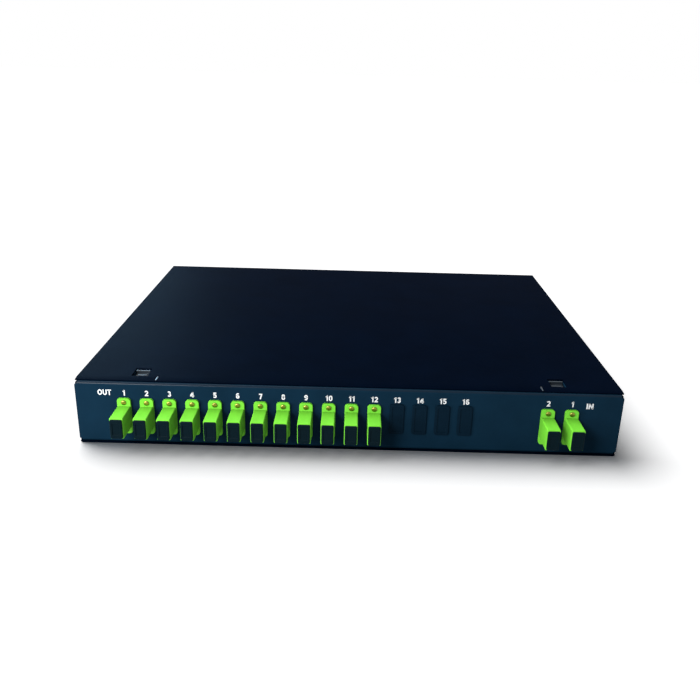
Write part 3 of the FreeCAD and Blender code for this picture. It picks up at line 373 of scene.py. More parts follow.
class SPLITTER_OT_finishes(Operator):
    """Make the finishes and give each carried-over piece its own"""
    bl_idname = "splitter.finishes"
    bl_label = "Finishes"

    def execute(self, context):
        colours = context.scene.splitter_finishes
        rough = colours.coat_roughness
        FINISHES.update({
            # The cover and tray coat is a darker copy of the panel's coat, as painted shade on the top.
            "cover": coat("cover powder coat", colours.cover_coat, rough, colours.cover_gloss),
            "panel": coat("panel powder coat", colours.panel_coat, rough, colours.panel_gloss),
            # The bend's coat is a darker copy of the panel's coat: painted shade on the bend.
            "bend": coat("panel bend coat", colours.bend_coat, colours.bend_roughness,
                         colours.bend_gloss),
            "green_plastic": moulding("green plastic", colours.adapter_green, 0.38, 0.10, 900.0, 0.00002),
            "black_plastic": moulding("black plastic", colours.cap_black, 0.45, 0.04, 1800.0, 0.00004),
            "blank_plastic": moulding("blank plastic", colours.blank_black, 0.50, 0.03, 1800.0, 0.00004),
            "brass_screws": metal("yellow plated screws", colours.screw_gold, 0.32, (1.0, 8.0, 1.0)),
            "bright_steel": metal("bright steel", colours.steel_grey, 0.28, (1.0, 10.0, 1.0)),
            "spring_steel": metal("spring steel", colours.hook_steel, 0.45, (8.0, 1.0, 1.0), 0.25),
            # The hooks' rounded edges take a lighter steel as a painted highlight.
            "bare_steel": metal("bare spring steel", colours.edge_highlight_colour, 0.50, (8.0, 1.0, 1.0), 0.25),
            "ink": ink("white ink", colours.ink_white),
            "ceramic": moulding("white ceramic", (0.85, 0.85, 0.82), 0.25, 0.5, 1500.0, 0.000005),
            "fibre_jacket": moulding("yellow fibre jacket", (0.70, 0.52, 0.05), 0.40, 0.4,
                                     1200.0, 0.00001),
            "module_plastic": moulding("grey module case", (0.28, 0.29, 0.30), 0.50, 0.4,
                                       1200.0, 0.00003),
            "chip_glass": glass("chip glass", (0.80, 0.85, 0.88)),
        })
        FINISHES["black_coat"] = FINISHES["cover"]
        for name, node in NODES.items():
            node.data.materials.clear()
            node.data.materials.append(FINISHES[SLOT_OF[name]])
        return {"FINISHED"}


# ---------------------------------------------------------------- shared making

def put(name, data):
    """A new object in the scene."""
    made = bpy.data.objects.new(name, data)
    bpy.context.scene.collection.objects.link(made)
    return made


def mesh_from(name, bm):
    """A new mesh from a bmesh, which is then freed."""
    mesh = bpy.data.meshes.new(name)
    bm.to_mesh(mesh)
    bm.free()
    return mesh


def add_piece(name, mesh, body, slot, *replaced):
    """Put a finished mesh in the scene as a piece of the object."""
    piece = put(name, mesh)
    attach(piece, body)
    if replaced:
        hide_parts(*replaced)
    return piece


def plain_mesh(source):
    """The evaluated mesh of an object; the object itself is then removed."""
    graph = bpy.context.evaluated_depsgraph_get()
    mesh = bpy.data.meshes.new_from_object(source.evaluated_get(graph), depsgraph=graph)
    bpy.data.objects.remove(source)
    return mesh


def smoothed(mesh, angle=math.radians(35)):
    """Smooth shading that leaves flat faces flat and keeps the sharper edges."""
    mesh.shade_smooth()
    mesh.set_sharp_from_angle(angle=angle)
    carrier = put(mesh.name + "_shading", mesh)
    modifier = carrier.modifiers.new("shading", "WEIGHTED_NORMAL")
    modifier.keep_sharp = True
    modifier.weight = 100
    return plain_mesh(carrier)


def dressed(name, node, finish, slot, width, segments=2):
    """A copy of a sheet-metal node with its cut edges rounded."""
    bm = bmesh.new()
    bm.from_mesh(NODES[node].data)
    bmesh.ops.remove_doubles(bm, verts=bm.verts, dist=0.000002)
    bmesh.ops.dissolve_limit(
        bm, angle_limit=math.radians(0.5), use_dissolve_boundaries=False, verts=bm.verts, edges=bm.edges)
    copy = put(name + "_blank", mesh_from(name, bm))
    bevel = copy.modifiers.new("edges", "BEVEL")
    bevel.width = width
    bevel.segments = segments
    bevel.limit_method = "ANGLE"
    bevel.angle_limit = math.radians(50)
    bevel.use_clamp_overlap = True
    made = smoothed(plain_mesh(copy))
    made.name = name
    made.materials.clear()
    made.materials.append(FINISHES[finish])
    return add_piece(name, made, HOUSING, slot, node)


def mark_bend(mesh):
    """Give the strip where the panel bends back its own finish: a darker copy of the panel's coat as
    painted shade, with more gloss.
    """
    mesh.materials.append(FINISHES["bend"])
    for face in mesh.polygons:
        if face.normal.y < 0 and 0.40 < face.normal.z < 0.92 and face.center.y < FACE + 0.002:
            face.material_index = 1


def mark_highlight_edges(mesh):
    """Give the rounded edges of a spring hook a lighter colour, a painted highlight, and leave its faces
    dark.
    """
    mesh.materials.append(FINISHES["bare_steel"])
    for face in mesh.polygons:
        if max(abs(part) for part in face.normal) < 0.97:
            face.material_index = 1


def ring(width, height, radius, y, steps=4, rise=0.0):
    """A rounded rectangle seen from the front, as points at one depth."""
    points = []
    for turn, (side, up) in enumerate(((1, 1), (-1, 1), (-1, -1), (1, -1))):
        centre = Vector((side * (width / 2 - radius), y, rise + up * (height / 2 - radius)))
        for step in range(steps + 1):
            angle = math.pi / 2 * (turn + step / steps)
            points.append(centre + Vector((radius * math.cos(angle), 0, radius * math.sin(angle))))
    return points


def loft(bm, rings):
    """A closed skin through rings of equal count, its two ends filled."""
    rows = [[bm.verts.new(point) for point in points] for points in rings]
    count = len(rows[0])
    faces = [bm.faces.new(rows[0]), bm.faces.new(rows[-1])]
    for first, second in zip(rows, rows[1:]):
        for number in range(count):
            after = (number + 1) % count
            faces.append(bm.faces.new((first[number], first[after], second[after], second[number])))
    bmesh.ops.recalc_face_normals(bm, faces=faces)


def pierced_plate(name, outline, holes, thickness, edge):
    """A flat plate with round holes and rounded rims, its back at y = 0."""
    curve = bpy.data.curves.new(name, "CURVE")
    curve.dimensions = "2D"
    curve.fill_mode = "BOTH"
    curve.extrude = thickness / 2 - edge
    curve.bevel_depth = edge
    curve.bevel_resolution = 1
    curve.offset = -edge
    loops = [outline]
    for centre, radius, steps in holes:
        turns = [2 * math.pi * step / steps for step in range(steps)]
        loops.append([(centre[0] + radius * math.cos(turn), centre[1] + radius * math.sin(turn))
                      for turn in turns])
    for loop in loops:
        spline = curve.splines.new("POLY")
        spline.points.add(len(loop) - 1)
        for point, (across, up) in zip(spline.points, loop):
            point.co = (across, up, 0.0, 1.0)
        spline.use_cyclic_u = True
    mesh = plain_mesh(put(name, curve))
    mesh.transform(Matrix.Translation((0, -thickness / 2, 0)) @ Matrix.Rotation(math.pi / 2, 4, "X"))
    return mesh


def merged(name, bm, meshes=()):
    """One mesh from a bmesh and some other meshes."""
    for other in meshes:
        bm.from_mesh(other)
    bmesh.ops.remove_doubles(bm, verts=bm.verts, dist=0.000001)
    return smoothed(mesh_from(name, bm))


def row_tree():
    """Copies of a piece in a row, and in further rows above, joined to one mesh."""
    tree = bpy.data.node_groups.new("row of pieces", "GeometryNodeTree")
    face = tree.interface
    for name, kind in (("Piece", "Object"), ("Start", "Vector"), ("Count", "Int"), ("Pitch", "Vector"),
                       ("Rows", "Int"), ("Row Step", "Vector"), ("Finish", "Material")):
        face.new_socket(name, in_out="INPUT", socket_type="NodeSocket" + kind)
    face.new_socket("Geometry", in_out="OUTPUT", socket_type="NodeSocketGeometry")
    new, link = tree.nodes.new, tree.links.new
    given, result = new("NodeGroupInput"), new("NodeGroupOutput")
    line = new("GeometryNodeMeshLine")
    line.mode = "OFFSET"
    link(given.outputs["Count"], line.inputs["Count"])
    link(given.outputs["Start"], line.inputs["Start Location"])
    link(given.outputs["Pitch"], line.inputs["Offset"])
    column = new("GeometryNodeMeshLine")
    column.mode = "OFFSET"
    link(given.outputs["Rows"], column.inputs["Count"])
    link(given.outputs["Row Step"], column.inputs["Offset"])
    source = new("GeometryNodeObjectInfo")
    source.inputs["As Instance"].default_value = True
    link(given.outputs["Piece"], source.inputs["Object"])
    stacked = new("GeometryNodeInstanceOnPoints")
    link(column.outputs["Mesh"], stacked.inputs["Points"])
    link(source.outputs["Geometry"], stacked.inputs["Instance"])
    spaced = new("GeometryNodeInstanceOnPoints")
    link(line.outputs["Mesh"], spaced.inputs["Points"])
    link(stacked.outputs["Instances"], spaced.inputs["Instance"])
    real = new("GeometryNodeRealizeInstances")
    link(spaced.outputs["Instances"], real.inputs["Geometry"])
    finish = new("GeometryNodeSetMaterial")
    link(real.outputs["Geometry"], finish.inputs["Geometry"])
    link(given.outputs["Finish"], finish.inputs["Material"])
    link(finish.outputs["Geometry"], result.inputs["Geometry"])
    return tree


def row_of(name, template, start, count, pitch, finish, rows=1, row_step=(0, 0, 0)):
    """A plain mesh of copies of a template mesh, made by the row tree."""
    tree = bpy.data.node_groups.get("row of pieces") or row_tree()
    piece = put(name + "_template", template)
    carrier = put(name + "_row", bpy.data.meshes.new(name + "_row"))
    modifier = carrier.modifiers.new("row", "NODES")
    modifier.node_group = tree
    inputs = {item.name: item.identifier for item in tree.interface.items_tree if item.in_out == "INPUT"}
    for key, value in (("Piece", piece), ("Start", start), ("Count", count), ("Pitch", pitch),
                       ("Rows", rows), ("Row Step", row_step), ("Finish", FINISHES[finish])):
        modifier[inputs[key]] = value
    mesh = plain_mesh(carrier)
    bpy.data.objects.remove(piece)
    mesh.name = name
    return mesh


def step_between(nodes):
    """Distance from one port of a row to the next."""
    return (port(nodes[-1]) - port(nodes[0])) / (len(nodes) - 1)


# ---------------------------------------------------------------- pieces

class SPLITTER_OT_sheet_metal(Operator):
    """Round the coated edges of the cover, the front panel and the tray"""
    bl_idname = "splitter.sheet_metal"
    bl_label = "Sheet metal"

    def execute(self, context):
        width = context.scene.splitter_sizes.edge_round
        # The cover and tray take the darker copy of the coat: painted shade.
        dressed("cover_sheet", "top_cover", "cover", "black_coat", width)
        panel = dressed("panel_sheet", "front_panel", "panel", "black_coat", width)
        # The bend strip takes a darker copy of the panel's coat: painted shade.
        mark_bend(panel.data)
        dressed("tray_sheet", "chassis_tray", "cover", "black_coat", width)
        for side in ("left", "right"):
            hook = dressed("spring_hook_" + side, "cover_hook_" + side, "spring_steel", "spring_steel",
                           width)
            # A painted highlight on the hook's rounded edges.
            mark_highlight_edges(hook.data)
            dressed("key_bar_" + side, "locating_key_" + side, "spring_steel", "bright_steel", width)
        return {"FINISHED"}


def screw_gap(sizes):
    """Distance between the two screws of a flange."""
    low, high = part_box("adapter_screws")
    return high.z - low.z - 2 * sizes.screw_radius


def adapter_mesh(sizes, low, high):
    """A flange with two screw holes and a shell with a socket at each end."""
    width, height = sizes.body_width, sizes.body_height
    front, rear = low.y - FACE, high.y - FACE
    socket = (sizes.socket_width, sizes.socket_height, 0.0003)
    rim = 0.0003
    web = 0.0010
    centre = (front + rear) / 2
    bm = bmesh.new()
    rings = []
    for mouth, inward in ((front, 1), (rear, -1)):
        end = [
            ring(*socket, centre - inward * web),
            ring(*socket, mouth + inward * rim),
            ring(socket[0] + rim, socket[1] + rim, socket[2] + rim / 2, mouth),
            ring(width - 2 * rim, height - 2 * rim, 0.0003, mouth),
            ring(width, height, 0.0006, mouth + inward * rim),
        ]
        rings += end if inward > 0 else end[::-1]
    loft(bm, rings)
    outline = ring(high.x - low.x, high.z - low.z, sizes.flange_corner, 0, 6)
    hole_radius, hole_steps, rounding = 0.0011, 16, 0.00025
    holes = [((0, up * screw_gap(sizes) / 2), hole_radius, hole_steps) for up in (-1, 1)]
    plate = pierced_plate(
        "flange", [(point.x, point.z) for point in outline], holes, sizes.flange_thick, rounding)
    return merged("adapter", bm, [plate])


class SPLITTER_OT_adapters(Operator):
    """Mould the through adapters of both rows of ports"""
    bl_idname = "splitter.adapters"
    bl_label = "Adapters"

    def execute(self, context):
        sizes = context.scene.splitter_sizes
        for name, nodes in (("output_adapters", OUTPUTS), ("input_adapters", INPUTS)):
            template = adapter_mesh(sizes, *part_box(nodes[0]))
            mesh = row_of(
                name, template, port(nodes[0]), len(nodes), step_between(nodes), "green_plastic")
            add_piece(name, mesh, HOUSING, "green_plastic", *nodes)
        return {"FINISHED"}


def cap_mesh(sizes, low, high):
    """Lid with a sunk panel and a hollow skirt behind it."""
    width, height = high.x - low.x, high.z - low.z
    front, tail = low.y - FACE, high.y - FACE
    seat = front + 0.0012
    edge = 0.0003
    skirt = (sizes.socket_width - 0.00024, sizes.socket_height - 0.00024)
    hollow = (skirt[0] - 0.0018, skirt[1] - 0.0018)
    bm = bmesh.new()
    loft(bm, [
        ring(*hollow, 0.0002, seat),
        ring(*hollow, 0.0002, tail),
        ring(skirt[0] - edge, skirt[1] - edge, 0.0003, tail),
        ring(*skirt, 0.0004, tail - edge),
        ring(*skirt, 0.0004, seat),
        ring(width - edge, height - edge, 0.0008, seat),
        ring(width, height, 0.0010, seat - edge / 2),
        ring(width, height, 0.0010, front + edge),
        ring(width - edge, height - edge, 0.0008, front + edge * 0.25),
        ring(width - 2 * edge, height - 2 * edge, 0.0007, front),
        ring(sizes.cap_panel_width + 0.0002, sizes.cap_panel_height + 0.0002, 0.0005, front),
        ring(sizes.cap_panel_width, sizes.cap_panel_height, 0.0004, front + 0.0001),
        ring(sizes.cap_panel_width - 0.0002, sizes.cap_panel_height - 0.0002, 0.0003, front + 0.0004),
    ])
    return merged("cap", bm)


class SPLITTER_OT_dust_caps(Operator):
    """Mould a dust cap for each port, each on its own joint"""
    bl_idname = "splitter.dust_caps"
    bl_label = "Dust caps"

    def execute(self, context):
        sizes = context.scene.splitter_sizes
        for adapter in OUTPUTS + INPUTS:
            number = adapter.replace("adapter_", "")
            node = "dust_cap_" + number
            mesh = cap_mesh(sizes, *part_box(node))
            mesh.transform(Matrix.Translation(port(adapter)))
            mesh.materials.append(FINISHES["black_plastic"])
            add_piece("cap_moulding_" + number, mesh, "cap_" + number, "black_plastic", node)
        return {"FINISHED"}


def blank_mesh(sizes, low, high):
    """Plate with a sunk panel, and the plug behind it on the port's axis."""
    width, height = high.x - low.x, high.z - low.z
    front, tail = low.y - FACE, high.y - FACE
    rise = (low.z + high.z) / 2 - port(BLANKS[0]).z
    edge = 0.0003
    bm = bmesh.new()
    loft(bm, [
        ring(sizes.body_width, sizes.body_height, 0.0004, tail),
        ring(sizes.body_width, sizes.body_height, 0.0004, -0.00001),
        ring(width, height, 0.0016, -0.00001, rise=rise),
        ring(width, height, 0.0016, front + edge, rise=rise),
        ring(width - edge * 0.6, height - edge * 0.6, 0.0014, front + edge * 0.3, rise=rise),
        ring(width - 2 * edge, height - 2 * edge, 0.0013, front, rise=rise),
        ring(0.0060, 0.0170, 0.0006, front, rise=rise),
        ring(0.0058, 0.0168, 0.0005, front + 0.0004, rise=rise),
    ])
    return merged("blank", bm)


class SPLITTER_OT_blanks(Operator):
    """Mould the blanking plates of the spare places"""
    bl_idname = "splitter.blanks"
    bl_label = "Blanking plates"

    def execute(self, context):
        template = blank_mesh(context.scene.splitter_sizes, *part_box(BLANKS[0]))
        start = port(BLANKS[0])
        mesh = row_of(
            "blanking_plates", template, start, len(BLANKS), step_between(BLANKS), "blank_plastic")
        add_piece("blanking_plates", mesh, HOUSING, "black_plastic", *BLANKS)
        return {"FINISHED"}


def screw_mesh(name, radius, rise, shank_radius, shank_length, slot_width, slot_depth, steps=28):
    """A domed slotted head on a plain shank; the head's seat is at y = 0, its top towards -Y."""
    profile = [(0.0, -rise), (0.55 * radius, -0.97 * rise), (0.85 * radius, -0.78 * rise),
               (0.97 * radius, -0.5 * rise), (radius, -0.15 * rise), (radius, 0.0),
               (shank_radius, 0.0), (shank_radius, shank_length), (0.0, shank_length)]
    bm = bmesh.new()
    rows = []
    for across, along in profile:
        if across == 0.0:
            rows.append([bm.verts.new((0, along, 0))])
            continue
        turns = [2 * math.pi * step / steps for step in range(steps)]
        circle = [(across * math.cos(turn), along, across * math.sin(turn)) for turn in turns]
        rows.append([bm.verts.new(point) for point in circle])
    for first, second in zip(rows, rows[1:]):
        for step in range(steps):
            after = (step + 1) % steps
            corners = [first[step % len(first)], first[after % len(first)],
                       second[after % len(second)], second[step % len(second)]]
            bm.faces.new(list(dict.fromkeys(corners)))
    bmesh.ops.recalc_face_normals(bm, faces=bm.faces)
    screw = put(name, mesh_from(name, bm))
    bm = bmesh.new()
    size = Matrix.Diagonal((3 * radius, 2 * slot_depth, slot_width, 1.0))
    bmesh.ops.create_cube(bm, size=1.0, matrix=Matrix.Translation((0, -rise, 0)) @ size)
    cutter = put(name + "_slot", mesh_from(name + "_slot", bm))
    cut = screw.modifiers.new("slot", "BOOLEAN")
    cut.operation = "DIFFERENCE"
    cut.solver = "EXACT"
    cut.object = cutter
    made = plain_mesh(screw)
    bpy.data.objects.remove(cutter)
    bm = bmesh.new()
    bm.from_mesh(made)
    return merged(name, bm)


class SPLITTER_OT_screws(Operator):
    """Turn the screws of the flanges, the cover and the tray"""
    bl_idname = "splitter.screws"
    bl_label = "Screws"

    def execute(self, context):
        sizes = context.scene.splitter_sizes
        low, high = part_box("adapter_screws")
        gap = screw_gap(sizes)
        flange_face = FACE - sizes.flange_thick
        shank, slot = 0.0010, (0.0005, 0.0004)
        bm = bmesh.new()
        for name, nodes in (("output", OUTPUTS), ("input", INPUTS)):
            template = screw_mesh("flange_screw", sizes.screw_radius, sizes.screw_rise, shank,
                                  high.y - flange_face, *slot)
            start = port(nodes[0]) + Vector((0, flange_face - FACE, -gap / 2))
            bm.from_mesh(row_of(name + "_screws", template, start, len(nodes), step_between(nodes),
                                "brass_screws", 2, (0, 0, gap)))
        mesh = mesh_from("flange_screws", bm)
        mesh.materials.append(FINISHES["brass_screws"])
        add_piece("flange_screws", mesh, HOUSING, "brass_screws", "adapter_screws")

        low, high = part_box("cover_screws")
        count, head, rise, shank, slot = 3, 0.0028, 0.0017, 0.0015, (0.0010, 0.0008)
        template = screw_mesh("rear_screw", head, rise, shank, high.y - low.y - rise, *slot)
        template.transform(Matrix.Rotation(math.pi, 4, "Z"))
        start = Vector((low.x + head, high.y - rise, (low.z + high.z) / 2))
        pitch = (high.x - low.x - 2 * head) / (count - 1)
        mesh = row_of("rear_screws", template, start, count, (pitch, 0, 0), "black_coat")
        add_piece("rear_screws", mesh, HOUSING, "black_coat", "cover_screws")
        return {"FINISHED"}


def bow(across, up, wide, tall, start, end, steps=14):
    """Points along a part of an ellipse, its angles in degrees."""
    turns = [math.radians(start + (end - start) * step / steps) for step in range(steps + 1)]
    return [(across + wide * math.cos(turn), up + tall * math.sin(turn)) for turn in turns]


def turned(strokes, width):
    """The same strokes upside down, as a 9 is to a 6."""
    return [[(width - across, 1.0 - up) for across, up in stroke] for stroke in strokes]


def glyph_table():
    """Width and centre lines of each sign, for a height of one."""
    table = {
        "0": (0.62, [bow(0.31, 0.62, 0.20, 0.28, 0, 180) + bow(0.31, 0.38, 0.20, 0.28, 180, 360)
                     + [(0.51, 0.62)]]),
        "1": (0.46, [[(0.32, 0.0), (0.32, 1.0)], [(0.32, 0.88), (0.08, 0.72)]]),
        "2": (0.62, [bow(0.30, 0.67, 0.20, 0.23, 165, -30) + [(0.12, 0.10), (0.60, 0.10)]]),
        "3": (0.62, [bow(0.29, 0.71, 0.19, 0.19, 155, -80) + bow(0.29, 0.31, 0.21, 0.21, 80, -155)]),
        "4": (0.68, [[(0.47, 0.0), (0.47, 0.96)], [(0.47, 0.92), (0.09, 0.36)],
                     [(0.02, 0.28), (0.68, 0.28)]]),
        "5": (0.62, [[(0.56, 0.90), (0.17, 0.90), (0.13, 0.50)]
                     + bow(0.29, 0.34, 0.22, 0.24, 125, -150)]),
        "6": (0.62, [bow(0.32, 0.32, 0.20, 0.22, 0, 360), bow(0.34, 0.52, 0.22, 0.38, 45, 190)]),
        "7": (0.60, [[(0.04, 0.90), (0.50, 0.90), (0.24, 0.0)]]),
        "8": (0.62, [bow(0.31, 0.71, 0.17, 0.19, 0, 360), bow(0.31, 0.31, 0.20, 0.21, 0, 360)]),
        "O": (0.84, [bow(0.42, 0.50, 0.32, 0.40, 0, 360, 28)]),
        "U": (0.74, [[(0.10, 1.0)] + bow(0.37, 0.38, 0.27, 0.28, 180, 360) + [(0.64, 1.0)]]),
        "T": (0.68, [[(0.0, 0.90), (0.68, 0.90)], [(0.34, 0.90), (0.34, 0.0)]]),
        "I": (0.20, [[(0.10, 0.0), (0.10, 1.0)]]),
        "N": (0.72, [[(0.10, 0.0), (0.10, 1.0)], [(0.12, 0.94), (0.60, 0.06)],
                     [(0.62, 0.0), (0.62, 1.0)]]),
    }
    table["9"] = (table["6"][0], turned(table["6"][1], table["6"][0]))
    return table


def ribbon(bm, points, half, depth):
    """Add a flat bar of even width along a line, with mitred corners, to a bmesh."""
    points = [Vector((across, up, 0)) for across, up in points]
    closed = (points[0] - points[-1]).length < 1e-6
    if closed:
        points.pop()
    count = len(points)
    sides = []
    for number, point in enumerate(points):
        before = points[number - 1] if number or closed else None
        after = points[(number + 1) % count] if number < count - 1 or closed else None
        ways = [(second - first).normalized() for first, second in ((before, point), (point, after))
                if first is not None and second is not None]
        normals = [Vector((-way.y, way.x, 0)) for way in ways]
        mitre = sum(normals, Vector()).normalized()
        reach = half / max(0.5, mitre.dot(normals[0]))
        sides.append([bm.verts.new(point + mitre * reach * side + Vector((0, 0, lift)))
                      for side, lift in ((1, 0), (1, depth), (-1, depth), (-1, 0))])
    pairs = list(zip(sides, sides[1:])) + ([(sides[-1], sides[0])] if closed else [])
    for first, second in pairs:
        for corner in range(4):
            after = (corner + 1) % 4
            bm.faces.new((first[corner], first[after], second[after], second[corner]))
    if not closed:
        bm.faces.new(sides[0])
        bm.faces.new(sides[-1])


def printed(text, height, centre, base, width=None):
    """A word or number as thin raised strokes on the panel's face."""
    sizes = bpy.context.scene.splitter_sizes
    table = glyph_table()
    half = sizes.stroke_weight / 2
    space = sizes.stroke_weight * 0.55
    bm = bmesh.new()
    pen = 0.0
    for sign in text:
        advance, strokes = table[sign]
        for stroke in strokes:
            ribbon(bm, [(pen + across, up) for across, up in stroke], half, sizes.ink_thickness / height)
        pen += advance + space
    pen -= space
    bmesh.ops.recalc_face_normals(bm, faces=bm.faces)
    stretch = width / pen if width else height
    bmesh.ops.translate(bm, verts=bm.verts, vec=(-pen / 2, 0, 0))
    upright = Matrix.Translation((centre, FACE, base)) @ Matrix.Rotation(math.pi / 2, 4, "X")
    scale = Matrix.Diagonal((stretch, height, height, 1.0))
    bmesh.ops.transform(bm, verts=bm.verts, matrix=upright @ scale)
    return mesh_from("word", bm)


class SPLITTER_OT_print(Operator):
    """Print the numbers over the ports and the words OUT and IN"""
    bl_idname = "splitter.print"
    bl_label = "Printing"

    def execute(self, context):
        sizes = context.scene.splitter_sizes
        height = sizes.number_height
        first, last = port(OUTPUTS[0]), port(INPUTS[0])
        base = first.z + sizes.number_base
        # Each word's middle from its port, its rise over the output numbers and its width.
        out_shift, out_rise, out_width = -0.0124, 0.0001, 0.0087
        in_shift, in_rise, in_width = 0.0112, -0.0008, 0.0044
        input_rise = 0.0003
        groups = {
            "output_numbers": [(str(number + 1), height, port(node).x, base)
                               for number, node in enumerate(OUTPUTS + BLANKS)],
            "input_numbers": [(node[-1], height, port(node).x, base + input_rise) for node in INPUTS],
            "output_word": [("OUT", height, first.x + out_shift, base + out_rise, out_width)],
            "input_word": [("IN", height, last.x + in_shift, base + in_rise, in_width)],
        }
        for name, words in groups.items():
            bm = bmesh.new()
            for word in words:
                bm.from_mesh(printed(*word))
            mesh = mesh_from(name, bm)
            mesh.materials.append(FINISHES["ink"])
            add_piece(name, mesh, HOUSING, "ceramic")
        return {"FINISHED"}


# ---------------------------------------------------------------- stage

# Each lamp's place, the point it is turned to, and its width and height, in metres.
SHEEN_LAMP = ((-0.95, 1.30, 0.50), (-0.08, 0.05, 0.04), (1.0, 0.6))
FILL_LAMP = ((-0.42, -0.80, 0.48), (-0.10, -0.14, 0.02), (0.30, 0.25))
SIDE_LAMP = ((-0.42, -0.40, 0.12), (-0.16, -0.14, 0.02), (0.15, 0.15))
SHEEN_COLOUR = (0.40, 0.72, 1.0)
SKY_COLOUR = (0.95, 0.97, 1.0)
FLOOR_MATT = 0.80
# The floor as the eye and reflections see it: its matt level, and a little light of its own.
FLOOR_SEEN, FLOOR_GLOW = 1.35, 0.01


def grey(level):
    """A neutral colour of a given level."""
    return (level, level, level, 1.0)


def seen_white(tree, shader):
    """Show a second shader to the eye and to reflections, and the first to everything else."""
    path = tree.nodes.new("ShaderNodeLightPath")
    seen = path.outputs["Is Camera Ray"]
    for ray in ("Is Glossy Ray", "Is Transmission Ray"):
        either = tree.nodes.new("ShaderNodeMath")
        either.operation = "MAXIMUM"
        tree.links.new(seen, either.inputs[0])
        tree.links.new(path.outputs[ray], either.inputs[1])
        seen = either.outputs[0]
    mix = tree.nodes.new("ShaderNodeMixShader")
    tree.links.new(seen, mix.inputs[0])
    tree.links.new(shader, mix.inputs[1])
    return mix


def area_lamp(name, place, aim, size, power, colour=(1.0, 1.0, 1.0)):
    """A rectangular lamp turned to a point, which the camera doesn't see."""
    data = bpy.data.lights.new(name, "AREA")
    data.shape = "RECTANGLE"
    data.size, data.size_y = size
    data.energy = power
    data.color = colour
    lamp = put(name, data)
    lamp.location = place
    lamp.rotation_euler = (Vector(aim) - Vector(place)).to_track_quat("-Z", "Y").to_euler()
    lamp.visible_camera = False
    return lamp


def sun_lamp(name, way, spread_angle, level):
    """A far lamp whose light on level ground has the given level."""
    way = Vector(way).normalized()
    data = bpy.data.lights.new(name, "SUN")
    data.angle = spread_angle
    data.energy = math.pi * level / way.z
    lamp = put(name, data)
    lamp.rotation_euler = way.to_track_quat("Z", "Y").to_euler()
    return lamp


def keep_off(linking, role, things):
    """Leave things out of those that a lamp lights directly, or of those that cast its shadows."""
    spared = bpy.data.collections.new("spared things")
    for thing in things:
        spared.objects.link(thing)
    setattr(linking, role, spared)
    for entry in spared.collection_objects:
        entry.light_linking.link_state = "EXCLUDE"


def make_camera(studio):
    """The camera at its place, turned, tipped and rolled."""
    turn, down, roll = studio.azimuth, studio.elevation, studio.roll
    across = Vector((math.cos(turn), math.sin(turn), 0))
    ahead = Vector((-math.sin(turn) * math.cos(down), math.cos(turn) * math.cos(down), -math.sin(down)))
    up = Vector((-math.sin(turn) * math.sin(down), math.cos(turn) * math.sin(down), math.cos(down)))
    right = across * math.cos(roll) - up * math.sin(roll)
    top = across * math.sin(roll) + up * math.cos(roll)
    data = bpy.data.cameras.new("camera")
    data.sensor_width = 36.0
    data.lens = studio.lens
    data.clip_start = 0.01
    camera = put("camera", data)
    facing = Matrix((right, top, -ahead)).transposed().to_4x4()
    camera.matrix_world = Matrix.Translation(studio.eye) @ facing
    return camera


def make_floor(studio):
    """The pale floor under the object."""
    bm = bmesh.new()
    bmesh.ops.create_grid(bm, x_segments=1, y_segments=1, size=studio.floor_reach)
    mesh = mesh_from("floor", bm)
    floor = put("floor", mesh)
    material = bpy.data.materials.new("pale floor")
    material.use_nodes = True
    tree = material.node_tree
    tree.nodes.clear()
    matt = tree.nodes.new("ShaderNodeBsdfDiffuse")
    matt.inputs["Color"].default_value = grey(FLOOR_MATT)
    mix = seen_white(tree, matt.outputs["BSDF"])
    lit = tree.nodes.new("ShaderNodeBsdfDiffuse")
    lit.inputs["Color"].default_value = grey(FLOOR_SEEN)
    glow = tree.nodes.new("ShaderNodeEmission")
    glow.inputs["Strength"].default_value = FLOOR_GLOW
    both = tree.nodes.new("ShaderNodeAddShader")
    tree.links.new(lit.outputs["BSDF"], both.inputs[0])
    tree.links.new(glow.outputs["Emission"], both.inputs[1])
    tree.links.new(both.outputs["Shader"], mix.inputs[2])
    output = tree.nodes.new("ShaderNodeOutputMaterial")
    tree.links.new(mix.outputs["Shader"], output.inputs["Surface"])
    mesh.materials.append(material)
    return floor


def make_world(studio):
    """Soft light from all round, with white to see."""
    world = bpy.data.worlds.new("surroundings")
    world.use_nodes = True
    tree = world.node_tree
    tree.nodes.clear()
    soft = tree.nodes.new("ShaderNodeBackground")
    soft.inputs["Color"].default_value = (*SKY_COLOUR, 1.0)
    soft.inputs["Strength"].default_value = studio.ambient
    mix = seen_white(tree, soft.outputs["Background"])
    white = tree.nodes.new("ShaderNodeBackground")
    white.inputs["Color"].default_value = grey(1.0)
    white.inputs["Strength"].default_value = 1.0
    tree.links.new(white.outputs["Background"], mix.inputs[2])
    output = tree.nodes.new("ShaderNodeOutputWorld")
    tree.links.new(mix.outputs["Shader"], output.inputs["Surface"])
    return world


def make_lamps(studio, floor):
    """The sun behind at the left and three smaller lamps that leave the floor alone."""
    sun = sun_lamp("sun lamp", studio.sun_way, studio.sun_spread, studio.sun_level)
    sheen = area_lamp("sheen lamp", *SHEEN_LAMP, studio.sheen_power, SHEEN_COLOUR)
    fill = area_lamp("fill lamp", *FILL_LAMP, studio.fill_power)
    side = area_lamp("side lamp", *SIDE_LAMP, studio.side_power)
    for lamp in (sheen, fill, side):
        keep_off(lamp.light_linking, "receiver_collection", [floor])
    # The bright ports would tint and scallop the shadow that the box throws on the floor.
    ports = [piece for piece in bpy.data.objects if piece.name.startswith(PORT_PIECES)]
    keep_off(sun.light_linking, "blocker_collection", ports)
    for piece in ports:
        piece.visible_diffuse = False


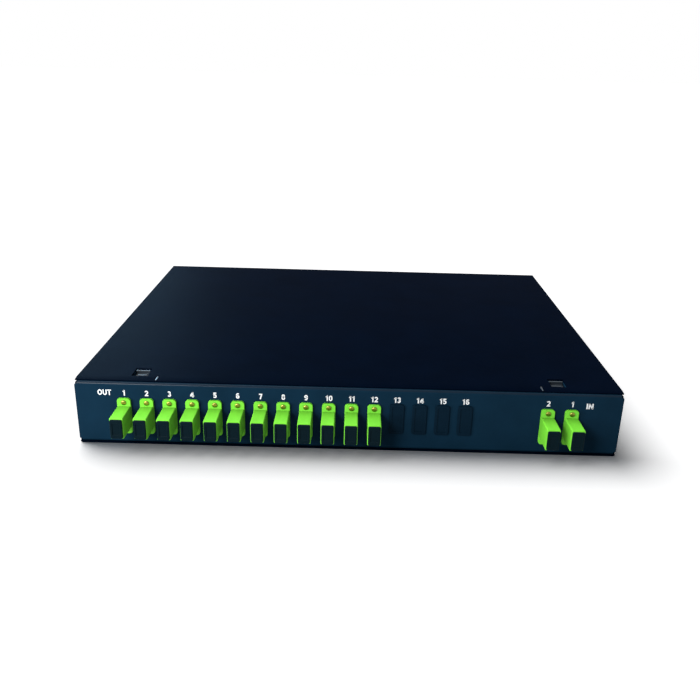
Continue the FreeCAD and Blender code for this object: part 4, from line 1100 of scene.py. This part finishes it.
class SPLITTER_OT_stage(Operator):
    """Set the camera, the floor, the lamps and the surroundings"""
    bl_idname = "splitter.stage"
    bl_label = "Stage"

    def execute(self, context):
        scene = context.scene
        studio = scene.splitter_studio
        scene.camera = make_camera(studio)
        floor = make_floor(studio)
        scene.world = make_world(studio)
        make_lamps(studio, floor)
        scene.view_settings.view_transform = "Standard"
        return {"FINISHED"}


# ---------------------------------------------------------------- add-on

class SPLITTER_PT_sidebar(Panel):
    bl_label = "Fibre splitter box"
    bl_idname = "SPLITTER_PT_sidebar"
    bl_space_type = "VIEW_3D"
    bl_region_type = "UI"
    bl_category = "Splitter"

    def draw(self, context):
        layout = self.layout
        for group in (context.scene.splitter_studio, context.scene.splitter_sizes,
                      context.scene.splitter_finishes):
            box = layout.box()
            for name in group.__annotations__:
                box.prop(group, name)
        for operator in OPERATORS:
            layout.operator(operator.bl_idname)


OPERATORS = (
    SPLITTER_OT_finishes,
    SPLITTER_OT_sheet_metal,
    SPLITTER_OT_adapters,
    SPLITTER_OT_dust_caps,
    SPLITTER_OT_blanks,
    SPLITTER_OT_screws,
    SPLITTER_OT_print,
    SPLITTER_OT_stage,
)
CLASSES = (SplitterSizes, SplitterFinishes, SplitterStudio) + OPERATORS + (SPLITTER_PT_sidebar,)


def register():
    for item in CLASSES:
        bpy.utils.register_class(item)
    bpy.types.Scene.splitter_sizes = PointerProperty(type=SplitterSizes)
    bpy.types.Scene.splitter_finishes = PointerProperty(type=SplitterFinishes)
    bpy.types.Scene.splitter_studio = PointerProperty(type=SplitterStudio)


def unregister():
    for name in ("splitter_sizes", "splitter_finishes", "splitter_studio"):
        delattr(bpy.types.Scene, name)
    for item in reversed(CLASSES):
        bpy.utils.unregister_class(item)


def main():
    """Make every piece and the stage."""
    register()
    bpy.ops.splitter.finishes()
    bpy.ops.splitter.sheet_metal()
    bpy.ops.splitter.adapters()
    bpy.ops.splitter.dust_caps()
    bpy.ops.splitter.blanks()
    bpy.ops.splitter.screws()
    bpy.ops.splitter.print()
    bpy.ops.splitter.stage()


if __name__ == "__main__":
    main()
